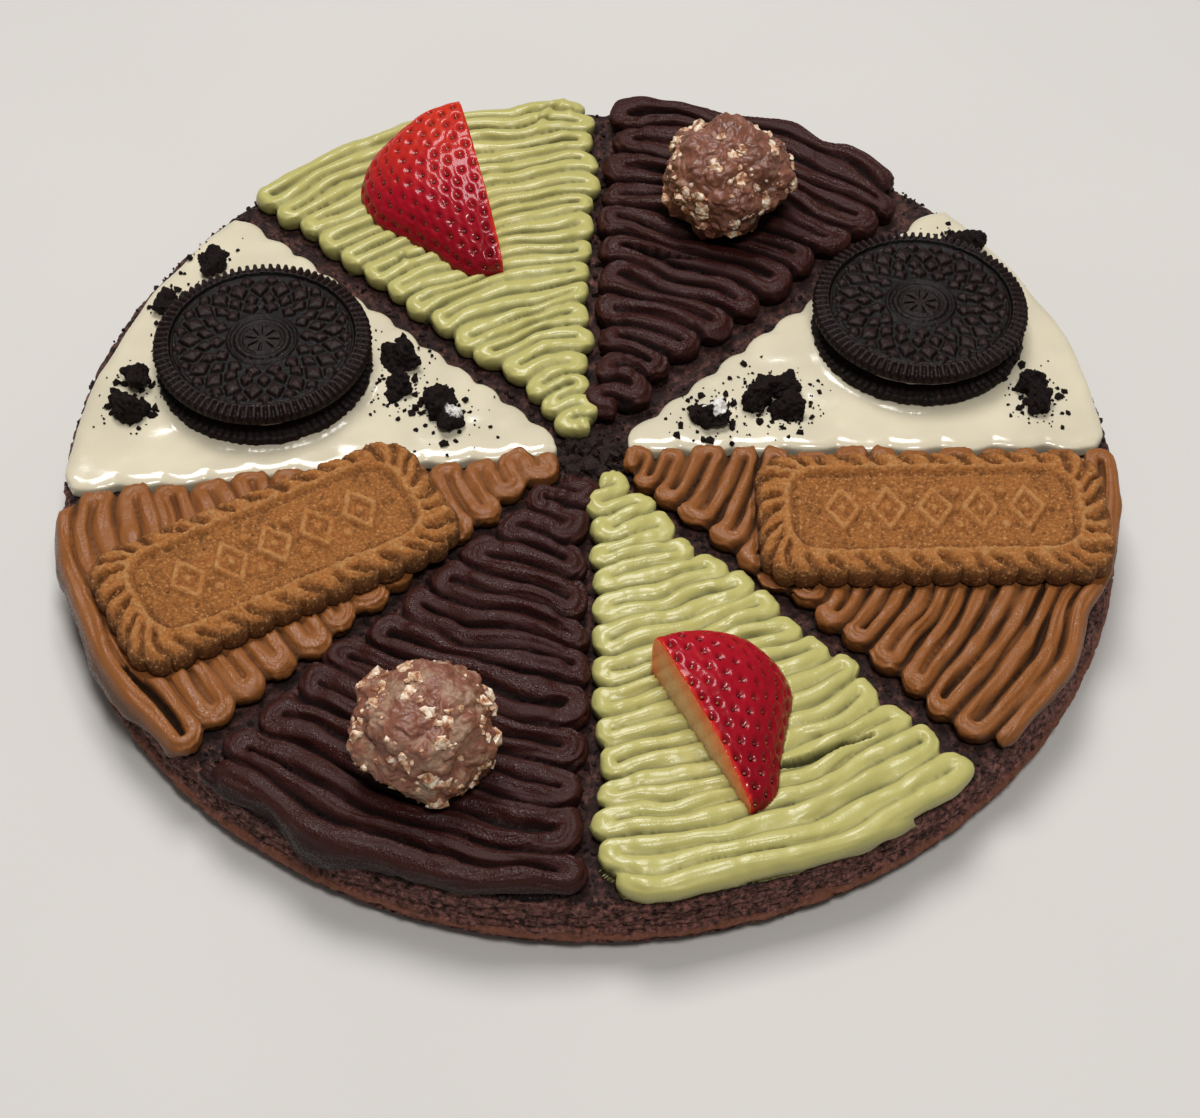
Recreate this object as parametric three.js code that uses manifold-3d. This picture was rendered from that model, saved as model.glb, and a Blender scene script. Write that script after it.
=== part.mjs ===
// A round chocolate brownie, about 21 cm across, decorated in eight wedges: pistachio cream,
// chocolate ganache and caramel cream piped to and fro, and poured white glaze, two wedges of each.
// On the wedges lie cut strawberries, hazelnut pralines, fluted caramel biscuits, cocoa sandwich
// cookies and broken cookie. Millimetres, +Z up, origin at the centre of the underside.

import * as THREE from 'three';
import { mergeVertices } from 'three/addons/utils/BufferGeometryUtils.js';
import Module from 'manifold-3d';

const wasm = await Module();
wasm.setup();

// Driving dimensions of the brownie
const BROWNIE_RADIUS = 107;
const BROWNIE_HEIGHT = 14;
const BROWNIE_SIDES = 60;
const SIDE_ROUGHNESS = 0.45;
const CENTRE_CRUMB_RADIUS = 5.2;
const CENTRE_CRUMBS = 8;

// The icing lies just clear of the brownie, and toppings lie this far clear of what they press into
const ICING_FLOOR = BROWNIE_HEIGHT + 0.02;
const FIT_GAP = 0.35;
const STACK_GAP = 0.3;
const REST_GAP = 0.03;

// Edges shorter than this, left where one piece is cut by another, are merged
const MERGE_LENGTH = 0.3;

// Driving dimensions of the toppings
const COOKIE = { radius: 22.4, wafer: 3, cream: 3, creamRadius: 20, teeth: 34, toothDepth: 0.6 };
const BISCUIT = { length: 70, width: 31.8, thickness: 6.2, border: 6.2, pitch: 5.3, scallop: 0.8 };
const PRALINE_BUMP = 0.7;
const CRUMB_RADIUS = 0.95;

const COLOURS = {
  brownie: 0x2e1a14,
  pistachio: 0xb2bd72,
  ganache: 0x34201b,
  caramel: 0x9b6a3a,
  glaze: 0xe6e4d2,
  berry: 0xb8161c,
  praline: 0x6b4332,
  wafer: 0x1f1917,
  filling: 0xefece2,
  biscuit: 0xb4713a,
};

// Piped wedges. Angles run anticlockwise from +X, in degrees; a gap is the bare strip left beside
// that edge, and bulge is how far the lines bow from straight chords to arcs, inside and outside.
const PIPED = [
  {
    name: 'pistachio_cream_back', colour: COLOURS.pistachio, seed: 11,
    from: 89.2, to: 137.5, gapFrom: 0.9, gapTo: 1.8, inner: 4.5, outer: 104.6,
    loops: 15, height: 4.4, bulge: [0.15, 0.95], rimStrands: 2,
  },
  {
    name: 'pistachio_cream_front', colour: COLOURS.pistachio, seed: 23,
    from: 270.3, to: 314.2, gapFrom: 0.25, gapTo: 1.4, inner: 8.5, outer: 105,
    loops: 14, height: 4.4, bulge: [0.15, 0.95], rimStrands: 2,
  },
  {
    name: 'chocolate_ganache_back', colour: COLOURS.ganache, seed: 37,
    from: 45.5, to: 89.2, gapFrom: 2.6, gapTo: 0.4, inner: 8, outer: 105.2,
    loops: 11, height: 5, bulge: [0.1, 0.95], rimStrands: 2,
  },
  {
    name: 'chocolate_ganache_front', colour: COLOURS.ganache, seed: 41,
    from: 226.6, to: 270.3, gapFrom: 0.4, gapTo: 0.25, inner: 9.5, outer: 107,
    loops: 11, height: 5, bulge: [0.1, 1], rimStrands: 3,
  },
  {
    name: 'caramel_cream_left', colour: COLOURS.caramel, seed: 53,
    from: 187, to: 226.6, gapFrom: 0.5, gapTo: 1, inner: 8.5, outer: 106.8,
    loops: 13, height: 4.2, bulge: [0.1, 1], rimStrands: 2,
  },
  {
    name: 'caramel_cream_right', colour: COLOURS.caramel, seed: 67,
    from: 314.2, to: 361, gapFrom: 1.2, gapTo: 0.5, inner: 7.5, outer: 105.2,
    loops: 14, height: 4.2, bulge: [0.1, 1], rimStrands: 1,
  },
];

// Poured wedges. Outer is the rim's radius at each edge; scallops give the number of waves along
// each straight edge, and depth how deep they are.
const POURED = [
  {
    name: 'white_glaze_left', colour: COLOURS.glaze, seed: 71,
    from: 137.5, to: 187, gapFrom: 2.1, gapTo: 0.4, inner: 6.5, outer: [102.4, 105.6],
    scallops: [12, 13], depth: [1.5, 0.6], height: 3.2, crumbs: 13,
  },
  {
    name: 'white_glaze_right', colour: COLOURS.glaze, seed: 83,
    from: 1, to: 45.5, gapFrom: 0.5, gapTo: 1.9, inner: 7.5, outer: [104.2, 104.2],
    scallops: [12, 11], depth: [0.6, 1.5], height: 3.2, crumbs: 13,
  },
];

const COOKIES = [
  { name: 'cookie_left', at: [-67.3, 21.1, 16.4], tilt: -0.5, turn: 20, on: ['white_glaze_left'] },
  { name: 'cookie_right', at: [67.8, 33.8, 16.2], tilt: -2.4, turn: 75, on: ['white_glaze_right'] },
];

const BISCUITS = [
  {
    name: 'caramel_biscuit_left', at: [-60.3, -31, 17], turn: 30,
    on: ['caramel_cream_left', 'white_glaze_left', 'chocolate_ganache_front'],
  },
  {
    name: 'caramel_biscuit_right', at: [67, -19.8, 17], turn: 1.8,
    on: ['caramel_cream_right', 'white_glaze_right'],
  },
];

// A quarter strawberry lies on one cut. Its other cut runs from the tip towards the heading,
// with the fruit to the left (side 1) or the right of it (side -1).
const BERRIES = [
  {
    name: 'strawberry_back', tip: [-19.2, 48.4, 17], heading: 105.3, side: 1,
    length: 42, on: ['pistachio_cream_back'],
  },
  {
    name: 'strawberry_front', tip: [29.6, -88.4, 17], heading: 119.2, side: -1,
    length: 36.2, on: ['pistachio_cream_front'],
  },
];

// A strawberry's outline from tip to crown: place along it, half width and half height, all in
// shares of its length
const BERRY_OUTLINE = [
  [0, 0.09, 0.08],
  [0.02, 0.17, 0.12],
  [0.09, 0.23, 0.17],
  [0.2, 0.3, 0.22],
  [0.34, 0.42, 0.28],
  [0.5, 0.55, 0.32],
  [0.66, 0.59, 0.35],
  [0.82, 0.56, 0.37],
  [0.92, 0.48, 0.375],
  [0.975, 0.36, 0.35],
  [1, 0.18, 0.24],
];

const PRALINES = [
  { name: 'hazelnut_praline_back', at: [28.3, 66.5, 29.3], radius: 14, seed: 5, on: ['chocolate_ganache_back'] },
  { name: 'hazelnut_praline_front', at: [-29.4, -79.2, 28.7], radius: 13.2, seed: 9, on: ['chocolate_ganache_front'] },
];

// Broken cookie: each node is one or more lumps, each with its centre and its three half sizes
const BROKEN = [
  { name: 'cookie_piece_left_rim', on: 'white_glaze_left', lumps: [[-82.6, 50.2, 4.6, 4.2, 3.6]] },
  { name: 'cookie_piece_left_behind', on: 'white_glaze_left', lumps: [[-89, 37.4, 3.4, 3, 3.4]] },
  {
    name: 'cookie_pieces_left_outer', on: 'white_glaze_left',
    lumps: [[-93.2, 9.4, 4.4, 4.8, 3.4], [-93.4, 15.6, 3.2, 3.6, 3.2]],
  },
  { name: 'cookie_piece_left_inner', on: 'white_glaze_left', lumps: [[-39.4, 23.4, 5, 3.9, 3.8]] },
  { name: 'cookie_piece_left_low', on: 'white_glaze_left', lumps: [[-40.4, 14.2, 3.4, 4.2, 3.4]] },
  {
    name: 'cookie_piece_left_long', on: 'white_glaze_left',
    lumps: [[-31.2, 10.8, 3.8, 4.4, 3.4], [-28.6, 6.4, 3.4, 4.8, 3]],
  },
  { name: 'cookie_piece_right_tip', on: 'white_glaze_right', lumps: [[24.2, 8.2, 4.6, 3.8, 2.9]] },
  {
    name: 'cookie_pieces_right_inner', on: 'white_glaze_right',
    lumps: [[33.4, 13.6, 4.2, 4, 3.4], [38.6, 16.6, 4, 3.4, 3.2], [39.8, 10.6, 3.4, 4, 3.2]],
  },
  {
    name: 'cookie_pieces_right_outer', on: 'white_glaze_right',
    lumps: [[90.4, 17.8, 3.3, 3.4, 3.8], [91.4, 12.8, 3.2, 3.2, 3]],
  },
  { name: 'cookie_piece_right_behind', on: 'white_glaze_right', lumps: [[79.6, 59, 4.4, 3.6, 4.2]] },
];

const DEGREE = Math.PI / 180;
const lerp = THREE.MathUtils.lerp;

// Repeatable noise: a hash of a number, and a smooth wave through such values, from -1 to 1
function hash(n) {
  const s = Math.sin(n * 12.9898) * 43758.5453;
  return s - Math.floor(s);
}

function wave(x, seed) {
  const cell = Math.floor(x);
  const f = x - cell;
  const blend = f * f * (3 - 2 * f);
  return 2 * lerp(hash(cell + seed), hash(cell + 1 + seed), blend) - 1;
}

// A closed surface built up row by row
class Shell {
  constructor() {
    this.points = [];
    this.faces = [];
  }

  row(points) {
    const start = this.points.length;
    this.points.push(...points);
    return points.map((_, i) => start + i);
  }

  // Joins two rows with triangles, which may have different numbers of points. The shorter row
  // moves on first in a tie, so its end points never carry a single triangle.
  stitch(a, b, closed = false) {
    const rowA = closed ? [...a, a[0]] : a;
    const rowB = closed ? [...b, b[0]] : b;
    let i = 0;
    let j = 0;
    while (i < rowA.length - 1 || j < rowB.length - 1) {
      const nextA = (i + 1) / (rowA.length - 1);
      const nextB = (j + 1) / (rowB.length - 1);
      if (nextA < nextB || (nextA === nextB && rowA.length <= rowB.length)) {
        this.faces.push([rowA[i], rowA[i + 1], rowB[j]]);
        i += 1;
      } else {
        this.faces.push([rowA[i], rowB[j + 1], rowB[j]]);
        j += 1;
      }
    }
  }

  // Fills a level ring, which may be concave
  fill(ring, upward) {
    const contour = ring.map((i) => new THREE.Vector2(this.points[i].x, this.points[i].y));
    for (const [a, b, c] of THREE.ShapeUtils.triangulateShape(contour, [])) {
      this.faces.push(upward ? [ring[a], ring[b], ring[c]] : [ring[a], ring[c], ring[b]]);
    }
  }

  geometry() {
    const geometry = new THREE.BufferGeometry().setFromPoints(this.points);
    geometry.setIndex(this.faces.flat());
    return geometry;
  }
}

function solidOf(geometry) {
  const bare = geometry.clone();
  bare.deleteAttribute('normal');
  bare.deleteAttribute('uv');
  const merged = mergeVertices(bare, 1e-4);
  const mesh = new wasm.Mesh({
    numProp: 3,
    vertProperties: new Float32Array(merged.attributes.position.array),
    triVerts: new Uint32Array(merged.index.array),
  });
  return new wasm.Manifold(mesh);
}

function geometryOf(solid) {
  const mesh = solid.getMesh();
  const geometry = new THREE.BufferGeometry();
  geometry.setAttribute('position', new THREE.BufferAttribute(mesh.vertProperties, 3));
  geometry.setIndex(new THREE.BufferAttribute(mesh.triVerts, 1));
  return geometry;
}

function joined(solids) {
  return solids.reduce((whole, solid) => whole.add(solid));
}

function placedSolid(geometry, place) {
  place.updateMatrixWorld(true);
  return solidOf(geometry.clone().applyMatrix4(place.matrixWorld));
}

function piece(name, geometry, colour, roughness = 0.6) {
  const mesh = new THREE.Mesh(geometry, new THREE.MeshStandardMaterial({ color: colour, roughness }));
  mesh.name = name;
  return mesh;
}

// An uneven lump of broken food: a coarse ball with half sizes, each corner pushed in or out
function lumpGeometry(ball, centre, halfSizes, roughness, seed) {
  ball.deleteAttribute('normal');
  ball.deleteAttribute('uv');
  const lump = mergeVertices(ball, 1e-4);
  const p = new THREE.Vector3();
  for (let i = 0; i < lump.attributes.position.count; i++) {
    p.fromBufferAttribute(lump.attributes.position, i);
    p.multiply(halfSizes).multiplyScalar(1 + roughness * (2 * hash(i + seed) - 1));
    lump.attributes.position.setXYZ(i, p.x + centre.x, p.y + centre.y, p.z + centre.z);
  }
  return lump;
}

// Sheet of rings about +Z, from the underside up: each ring has a radius and a height
function ringStack(rings, pointAt) {
  const shell = new Shell();
  const rows = rings.map((ring) => shell.row(pointAt(ring)));
  for (let i = 0; i + 1 < rows.length; i++) {
    shell.stitch(rows[i], rows[i + 1], true);
  }
  shell.fill(rows[0], false);
  shell.fill(rows.at(-1), true);
  return shell.geometry();
}

// The brownie: a flat cake with a lip low on its side, torn in level layers, and a crumbly centre
function brownie() {
  const h = BROWNIE_HEIGHT;
  const profile = [
    { inset: 6, z: 0, rough: 0 },
    { inset: 1.4, z: 1.6, rough: 0.5 },
    { inset: 0, z: 4.6, rough: 0.35 },
    { inset: 1.3, z: 6.8, rough: 1 },
    { inset: 1.1, z: h - 2, rough: 1 },
    { inset: 2.6, z: h, rough: 0.8 },
  ];
  const body = ringStack(profile, ({ inset, z, rough }) => {
    const ring = [];
    for (let i = 0; i < BROWNIE_SIDES; i++) {
      const turn = (2 * Math.PI * i) / BROWNIE_SIDES;
      const uneven = SIDE_ROUGHNESS * rough * (2 * hash(i * 3.7 + z) - 1.6);
      const r = BROWNIE_RADIUS - inset + Math.min(uneven, 0.2);
      ring.push(new THREE.Vector3(r * Math.cos(turn), r * Math.sin(turn), z));
    }
    return ring;
  });
  const parts = [solidOf(body)];
  for (let i = 0; i < CENTRE_CRUMBS; i++) {
    const turn = i * 2.4;
    const r = CENTRE_CRUMB_RADIUS * Math.sqrt((i + 0.3) / CENTRE_CRUMBS);
    const centre = new THREE.Vector3(r * Math.cos(turn) + 1, r * Math.sin(turn) - 2, h - 0.1);
    const size = 0.9 + 0.8 * hash(i + 0.5);
    const half = new THREE.Vector3(size, size * 0.9, size * 0.8);
    parts.push(solidOf(lumpGeometry(new THREE.IcosahedronGeometry(1), centre, half, 0.25, i)));
  }
  return geometryOf(joined(parts));
}

// The two straight edges of a wedge, each set in from its ray by its gap
function wedgeEdges(wedge) {
  const edge = (degrees, gap) => {
    const along = new THREE.Vector2(Math.cos(degrees * DEGREE), Math.sin(degrees * DEGREE));
    const inward = new THREE.Vector2(-along.y, along.x).multiplyScalar(Math.sign(gap));
    return { along, inward, gap: Math.abs(gap) };
  };
  return [edge(wedge.from, wedge.gapFrom), edge(wedge.to, -wedge.gapTo)];
}

function edgePoint(edge, distance, inset) {
  return edge.along.clone().multiplyScalar(distance).addScaledVector(edge.inward, edge.gap + inset);
}

// How far the line at a distance from the centre bows outwards in its middle
function lineSag(wedge, distance, strand) {
  const half = ((wedge.to - wedge.from) / 2) * DEGREE;
  const share = (distance - wedge.inner) / (wedge.outer - wedge.inner);
  const onRim = strand >= 2 * wedge.loops - wedge.rimStrands;
  const bulge = onRim ? wedge.bulge[1] : lerp(wedge.bulge[0], wedge.bulge[1], share * share);
  return bulge * distance * (1 - Math.cos(half));
}

// One row of a piped wedge, across it from edge to edge: a crease before a strand, or a line
// along the strand's shoulder. Strands 1 and 2, 3 and 4 and so on turn round at the first edge,
// 0 and 1, 2 and 3 at the second, so a crease is bridged at one end and notched at the other.
function pipedRow(wedge, edges, strand, across) {
  const strands = 2 * wedge.loops;
  const pitch = (wedge.outer - wedge.inner) / strands;
  const distance = wedge.inner + (strand + across) * pitch;
  const isCrease = across === 0;
  const isBorder = isCrease && (strand === 0 || strand === strands);
  const crest = wedge.height * (isCrease ? 0.42 : 1);
  const loopAt = [0, 1].map((side) => 0.8 * wave(Math.floor((strand + across + side) / 2) + 0.5, wedge.seed + side));
  const rowLength = edgePoint(edges[0], distance, 0).distanceTo(edgePoint(edges[1], distance, 0));
  const room = Math.min(1, rowLength / (3.6 * pitch));
  const ends = edges.map((edge, side) => {
    const bridged = isCrease && (strand + side) % 2 === 0;
    let inset = bridged ? 0 : 0.22 * pitch;
    if (isCrease && !bridged) {
      inset = 0.8 * pitch;
    }
    inset = room * (inset + Math.max(0, loopAt[side]));
    return { inset, shoulder: inset + room * 0.5 * pitch, bridged };
  });
  const sag = lineSag(wedge, distance, strand);
  const middle = Math.max(1, Math.round(rowLength / 23));
  const outwards = new THREE.Vector2().addVectors(edges[0].along, edges[1].along).normalize();
  const start = edgePoint(edges[0], distance, ends[0].inset);
  const finish = edgePoint(edges[1], distance, ends[1].inset);
  const span = start.distanceTo(finish);
  const at = (t, rise) => {
    const p = start.clone().lerp(finish, t).addScaledVector(outwards, 4 * sag * t * (1 - t));
    const sway = t > 0 && t < 1 && !isBorder ? 0.3 * wave(t * span * 0.12 + strand * 1.7, wedge.seed) : 0;
    p.addScaledVector(outwards, sway);
    return new THREE.Vector3(p.x, p.y, ICING_FLOOR + rise * (1 + 0.5 * sway));
  };
  const tIn = ends.map((end) => (end.shoulder - end.inset) / span);
  const steps = Array.from({ length: middle + 1 }, (_, i) => lerp(tIn[0], 1 - tIn[1], i / middle));
  if (isBorder) {
    return steps.map((t) => at(t, 0));
  }
  const rises = steps.map(() => crest);
  ends.forEach((end, side) => {
    rises[side * middle] = isCrease && end.bridged ? 0.8 * wedge.height : crest * 0.88;
  });
  return [at(0, 0), ...steps.map((t, i) => at(t, rises[i])), at(1, 0)];
}

function pipedWedge(wedge) {
  const shell = new Shell();
  const edges = wedgeEdges(wedge);
  const rows = [];
  for (let strand = 0; strand < 2 * wedge.loops; strand++) {
    for (const across of [0, 0.3, 0.7]) {
      rows.push(shell.row(pipedRow(wedge, edges, strand, across)));
    }
  }
  rows.push(shell.row(pipedRow(wedge, edges, 2 * wedge.loops, 0)));
  for (let i = 0; i + 1 < rows.length; i++) {
    shell.stitch(rows[i + 1], rows[i]);
  }
  const inner = rows.slice(1, -1);
  const outline = [
    ...rows[0],
    ...inner.map((row) => row.at(-1)),
    ...rows.at(-1).toReversed(),
    ...inner.map((row) => row[0]).toReversed(),
  ];
  shell.fill(outline, false);
  return solidOf(shell.geometry());
}

// Outline of a poured wedge: wavy straight edges, a rim arc and a rounded point at the centre
function pouredOutline(wedge) {
  const edges = wedgeEdges(wedge);
  const wavyEdge = (side) => {
    const waves = wedge.scallops[side];
    const steps = waves * 3;
    const points = [];
    for (let i = 0; i <= steps; i++) {
      const distance = lerp(wedge.inner, wedge.outer[side] - 2, i / steps);
      const notch = i % 3 === 0 ? wedge.depth[side] : 0.25 * Math.abs(wave(i, wedge.seed));
      points.push(edgePoint(edges[side], distance, notch + 0.4 * wave(i / 3, wedge.seed + side)));
    }
    return points;
  };
  const rim = [];
  const rimSteps = 11;
  for (let i = 0; i <= rimSteps; i++) {
    const share = i / rimSteps;
    const turn = lerp(wedge.from + 2, wedge.to - 2, share) * DEGREE;
    const r = lerp(...wedge.outer, share ** 3) + 0.5 * wave(i * 0.8, wedge.seed + 3);
    rim.push(new THREE.Vector2(r * Math.cos(turn), r * Math.sin(turn)));
  }
  return [...wavyEdge(0), ...rim, ...wavyEdge(1).toReversed()];
}

function insetOutline(outline, inset) {
  return outline.map((p, i) => {
    const before = outline.at(i - 1);
    const after = outline[(i + 1) % outline.length];
    const along = after.clone().sub(before).normalize();
    return p.clone().addScaledVector(new THREE.Vector2(-along.y, along.x), inset);
  });
}

function pouredWedge(wedge) {
  const shell = new Shell();
  const outline = pouredOutline(wedge);
  const level = (points, z) => shell.row(points.map((p) => new THREE.Vector3(p.x, p.y, z)));
  const rows = [
    level(outline, ICING_FLOOR),
    level(insetOutline(outline, 0.35), ICING_FLOOR + 0.62 * wedge.height),
    level(insetOutline(outline, 1.3), ICING_FLOOR + wedge.height),
  ];
  shell.fill(rows[0], false);
  shell.stitch(rows[0], rows[1], true);
  shell.stitch(rows[1], rows[2], true);
  shell.fill(rows[2], true);
  return solidOf(shell.geometry());
}

// Small crumbs strewn about the broken pieces of one wedge, where they meet only its glaze
function strewnCrumbs(wedge, glaze, cutters) {
  const broken = BROKEN.filter((node) => node.on === wedge.name);
  const near = broken.flatMap((node) => node.lumps);
  const inTheWay = [...cutters, ...broken.map((node) => brokenCookie(node, FIT_GAP))];
  const crumbs = [];
  for (let i = 0; i < wedge.crumbs; i++) {
    const [x, y, halfX] = near[i % near.length];
    const turn = 2 * Math.PI * hash(i + wedge.seed);
    const reach = halfX * 1.3 + 2.2 + 1.5 * hash(i * 2 + wedge.seed);
    const r = CRUMB_RADIUS * (0.7 + 0.6 * hash(i * 3 + wedge.seed));
    const centre = new THREE.Vector3(
      x + reach * Math.cos(turn),
      y + reach * Math.sin(turn),
      ICING_FLOOR + wedge.height + 0.15,
    );
    const half = new THREE.Vector3(r, r, r * 0.8);
    crumbs.push(solidOf(lumpGeometry(new THREE.IcosahedronGeometry(1), centre, half, 0.2, i)));
  }
  const lies = (crumb) => !crumb.intersect(glaze).isEmpty();
  const clears = (crumb) => inTheWay.every((solid) => crumb.intersect(solid).isEmpty());
  return crumbs.filter((crumb) => lies(crumb) && clears(crumb));
}

// A cocoa wafer, face up: a fluted rim outside, a raised band and a sunk middle with a boss
function wafer({ fluted }) {
  const { radius, wafer: thickness, teeth, toothDepth } = COOKIE;
  const rim = fluted ? { n: 2 * teeth, notch: toothDepth } : { n: teeth - 6, notch: 0 };
  const rings = [
    { r: radius - 0.7, z: 0, n: rim.n / 2, notch: 0 },
    { r: radius, z: thickness * 0.35, ...rim },
    { r: radius - 0.5, z: thickness * 0.85, ...rim },
    { r: radius - 3.6, z: thickness, n: teeth - 6, notch: 0 },
  ];
  if (fluted) {
    rings.push({ r: radius - 4.4, z: thickness - 0.5, n: teeth - 6, notch: 0 });
  }
  return ringStack(rings, ({ r, z, n, notch }) => {
    const ring = [];
    for (let i = 0; i < n; i++) {
      const turn = (2 * Math.PI * i) / n;
      const reach = r - (i % 2 ? notch : 0);
      ring.push(new THREE.Vector3(reach * Math.cos(turn), reach * Math.sin(turn), z));
    }
    return ring;
  });
}

// Raised pattern on the wafer's face: a ring of lozenges round a plain boss
function waferPattern() {
  const motifs = [];
  const lozenges = 12;
  const face = COOKIE.wafer - 0.55;
  for (let i = 0; i < lozenges; i++) {
    const lozenge = new THREE.OctahedronGeometry(1, 0);
    lozenge.scale(3.2, 1.5, 0.9).translate(12, 0, face).rotateZ((2 * Math.PI * i) / lozenges);
    motifs.push(lozenge);
  }
  motifs.push(new THREE.CylinderGeometry(3.6, 5, 1.5, 8).rotateX(Math.PI / 2).translate(0, 0, face));
  return motifs.map(solidOf);
}

function cookieSolid() {
  return geometryOf(joined([solidOf(wafer({ fluted: true })), ...waferPattern()]));
}

function creamDisc() {
  const disc = new THREE.CylinderGeometry(COOKIE.creamRadius, COOKIE.creamRadius, COOKIE.cream, 28);
  return disc.rotateX(Math.PI / 2).translate(0, 0, COOKIE.cream / 2);
}

function cookieGroup(cookie) {
  const group = new THREE.Group();
  group.position.set(...cookie.at);
  group.rotation.set(cookie.tilt * DEGREE, 0, cookie.turn * DEGREE);
  const bottom = piece(`${cookie.name}_bottom_wafer`, wafer({ fluted: false }), COLOURS.wafer, 0.7);
  const cream = piece(`${cookie.name}_cream`, creamDisc(), COLOURS.filling);
  cream.position.z = COOKIE.wafer + STACK_GAP;
  const top = piece(`${cookie.name}_top_wafer`, cookieSolid(), COLOURS.wafer, 0.7);
  top.position.z = COOKIE.wafer + COOKIE.cream + 2 * STACK_GAP;
  group.add(bottom, cream, top);
  return group;
}

// A straight-sided hole for a round topping, as wide as the topping and its fit gap
function roundCutter(radius, depth, sides) {
  const r = (radius + FIT_GAP) / Math.cos(Math.PI / sides);
  const cutter = new THREE.CylinderGeometry(r, r, depth, sides).rotateX(Math.PI / 2);
  return cutter.translate(0, 0, depth / 2 - FIT_GAP);
}

function cookieCutter(cookie) {
  return placedSolid(roundCutter(COOKIE.radius, 3 * COOKIE.wafer, 36), cookieGroup(cookie));
}

// Rounded rectangle about the origin, as points an even step apart, starting mid-right
function roundedRectangle(length, width, corner, count) {
  const shape = new THREE.Shape();
  const x = length / 2;
  const y = width / 2;
  shape.moveTo(x, 0).lineTo(x, y - corner).absarc(x - corner, y - corner, corner, 0, Math.PI / 2);
  shape.lineTo(corner - x, y).absarc(corner - x, y - corner, corner, Math.PI / 2, Math.PI);
  shape.lineTo(-x, corner - y).absarc(corner - x, corner - y, corner, Math.PI, 1.5 * Math.PI);
  shape.lineTo(x - corner, -y).absarc(x - corner, corner - y, corner, 1.5 * Math.PI, 2 * Math.PI);
  shape.lineTo(x, 0);
  return shape.getSpacedPoints(count).slice(0, count);
}

// The biscuit's outline, with a scallop every pitch, each drawn with three points
function scallopedRing(inset, z, depth) {
  const { length, width, pitch } = BISCUIT;
  const scallops = Math.round((2 * (length + width) - 16) / pitch);
  const outline = roundedRectangle(length, width, 6, 3 * scallops);
  const notched = insetOutline(outline, inset).map((p, i) => {
    const towardsMiddle = new THREE.Vector2(Math.sign(p.x) * Math.max(0, Math.abs(p.x) - 22), p.y).normalize();
    return p.addScaledVector(towardsMiddle, i % 3 === 0 ? -depth : 0);
  });
  return notched.map((p) => new THREE.Vector3(p.x, p.y, z));
}

// A fluted caramel biscuit: a scalloped edge, a raised border and a sunk panel with lozenges
function biscuit() {
  const { length, width, thickness, border, scallop } = BISCUIT;
  const shell = new Shell();
  const panel = (inset, z) => roundedRectangle(length - 2 * inset, width - 2 * inset, 5, 28)
    .map((p) => new THREE.Vector3(p.x, p.y, z));
  const rows = [
    shell.row(scallopedRing(0.5, 0, scallop * 0.7)),
    shell.row(scallopedRing(0.4, thickness * 0.8, scallop)),
    shell.row(panel(border - 2.6, thickness)),
    shell.row(panel(border, thickness - 1)),
  ];
  shell.fill(rows[0], false);
  for (let i = 0; i + 1 < rows.length; i++) {
    shell.stitch(rows[i], rows[i + 1], true);
  }
  shell.fill(rows.at(-1), true);
  const motifs = [];
  for (let i = -2; i <= 2; i++) {
    const lozenge = new THREE.OctahedronGeometry(1, 0);
    motifs.push(solidOf(lozenge.scale(3.4, 5.2, 0.9).translate(i * 9.4, 0, thickness - 1.05)));
  }
  return geometryOf(joined([solidOf(shell.geometry()), ...motifs]));
}

function biscuitCutter(place) {
  const { length, width, thickness } = BISCUIT;
  const outline = roundedRectangle(length + 2 * FIT_GAP, width + 2 * FIT_GAP, 6, 28);
  const cutter = new THREE.ExtrudeGeometry(new THREE.Shape(outline), { depth: 2 * thickness, bevelEnabled: false });
  return placedSolid(cutter.translate(0, 0, -FIT_GAP), place);
}

// A quarter of a strawberry above its lower cut and on one side of its other cut. Its tip is
// at the origin and its axis along +X.
function berryQuarter({ length, side }) {
  const sides = 24;
  const whole = ringStack(BERRY_OUTLINE, ([along, wide, high]) => {
    const ring = [];
    for (let i = 0; i < sides; i++) {
      const turn = (2 * Math.PI * i) / sides;
      ring.push(new THREE.Vector3(-high * Math.sin(turn), wide * Math.cos(turn), along));
    }
    return ring;
  });
  whole.scale(length, length, length).rotateY(Math.PI / 2);
  const room = new THREE.BoxGeometry(4 * length, 2 * length, 2 * length);
  room.translate(0, side * length, length);
  return solidOf(whole).intersect(solidOf(room));
}

// A straight-sided hole round a quarter strawberry
function berryCutter(berry) {
  const { length, side } = berry;
  const skin = BERRY_OUTLINE.map(([along, wide]) => {
    return new THREE.Vector2(lerp(-FIT_GAP, length + FIT_GAP, along), side * (wide * length + FIT_GAP));
  });
  const ends = [new THREE.Vector2(length + FIT_GAP, -side * FIT_GAP), new THREE.Vector2(-FIT_GAP, -side * FIT_GAP)];
  const outline = new THREE.Shape([...skin, ...ends]);
  const cutter = new THREE.ExtrudeGeometry(outline, { depth: length, bevelEnabled: false });
  return placedSolid(cutter.translate(0, 0, -FIT_GAP), berryPlace(berry));
}

function berryPlace(berry) {
  const place = new THREE.Group();
  place.position.set(...berry.tip);
  place.rotation.z = berry.heading * DEGREE;
  return place;
}

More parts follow.
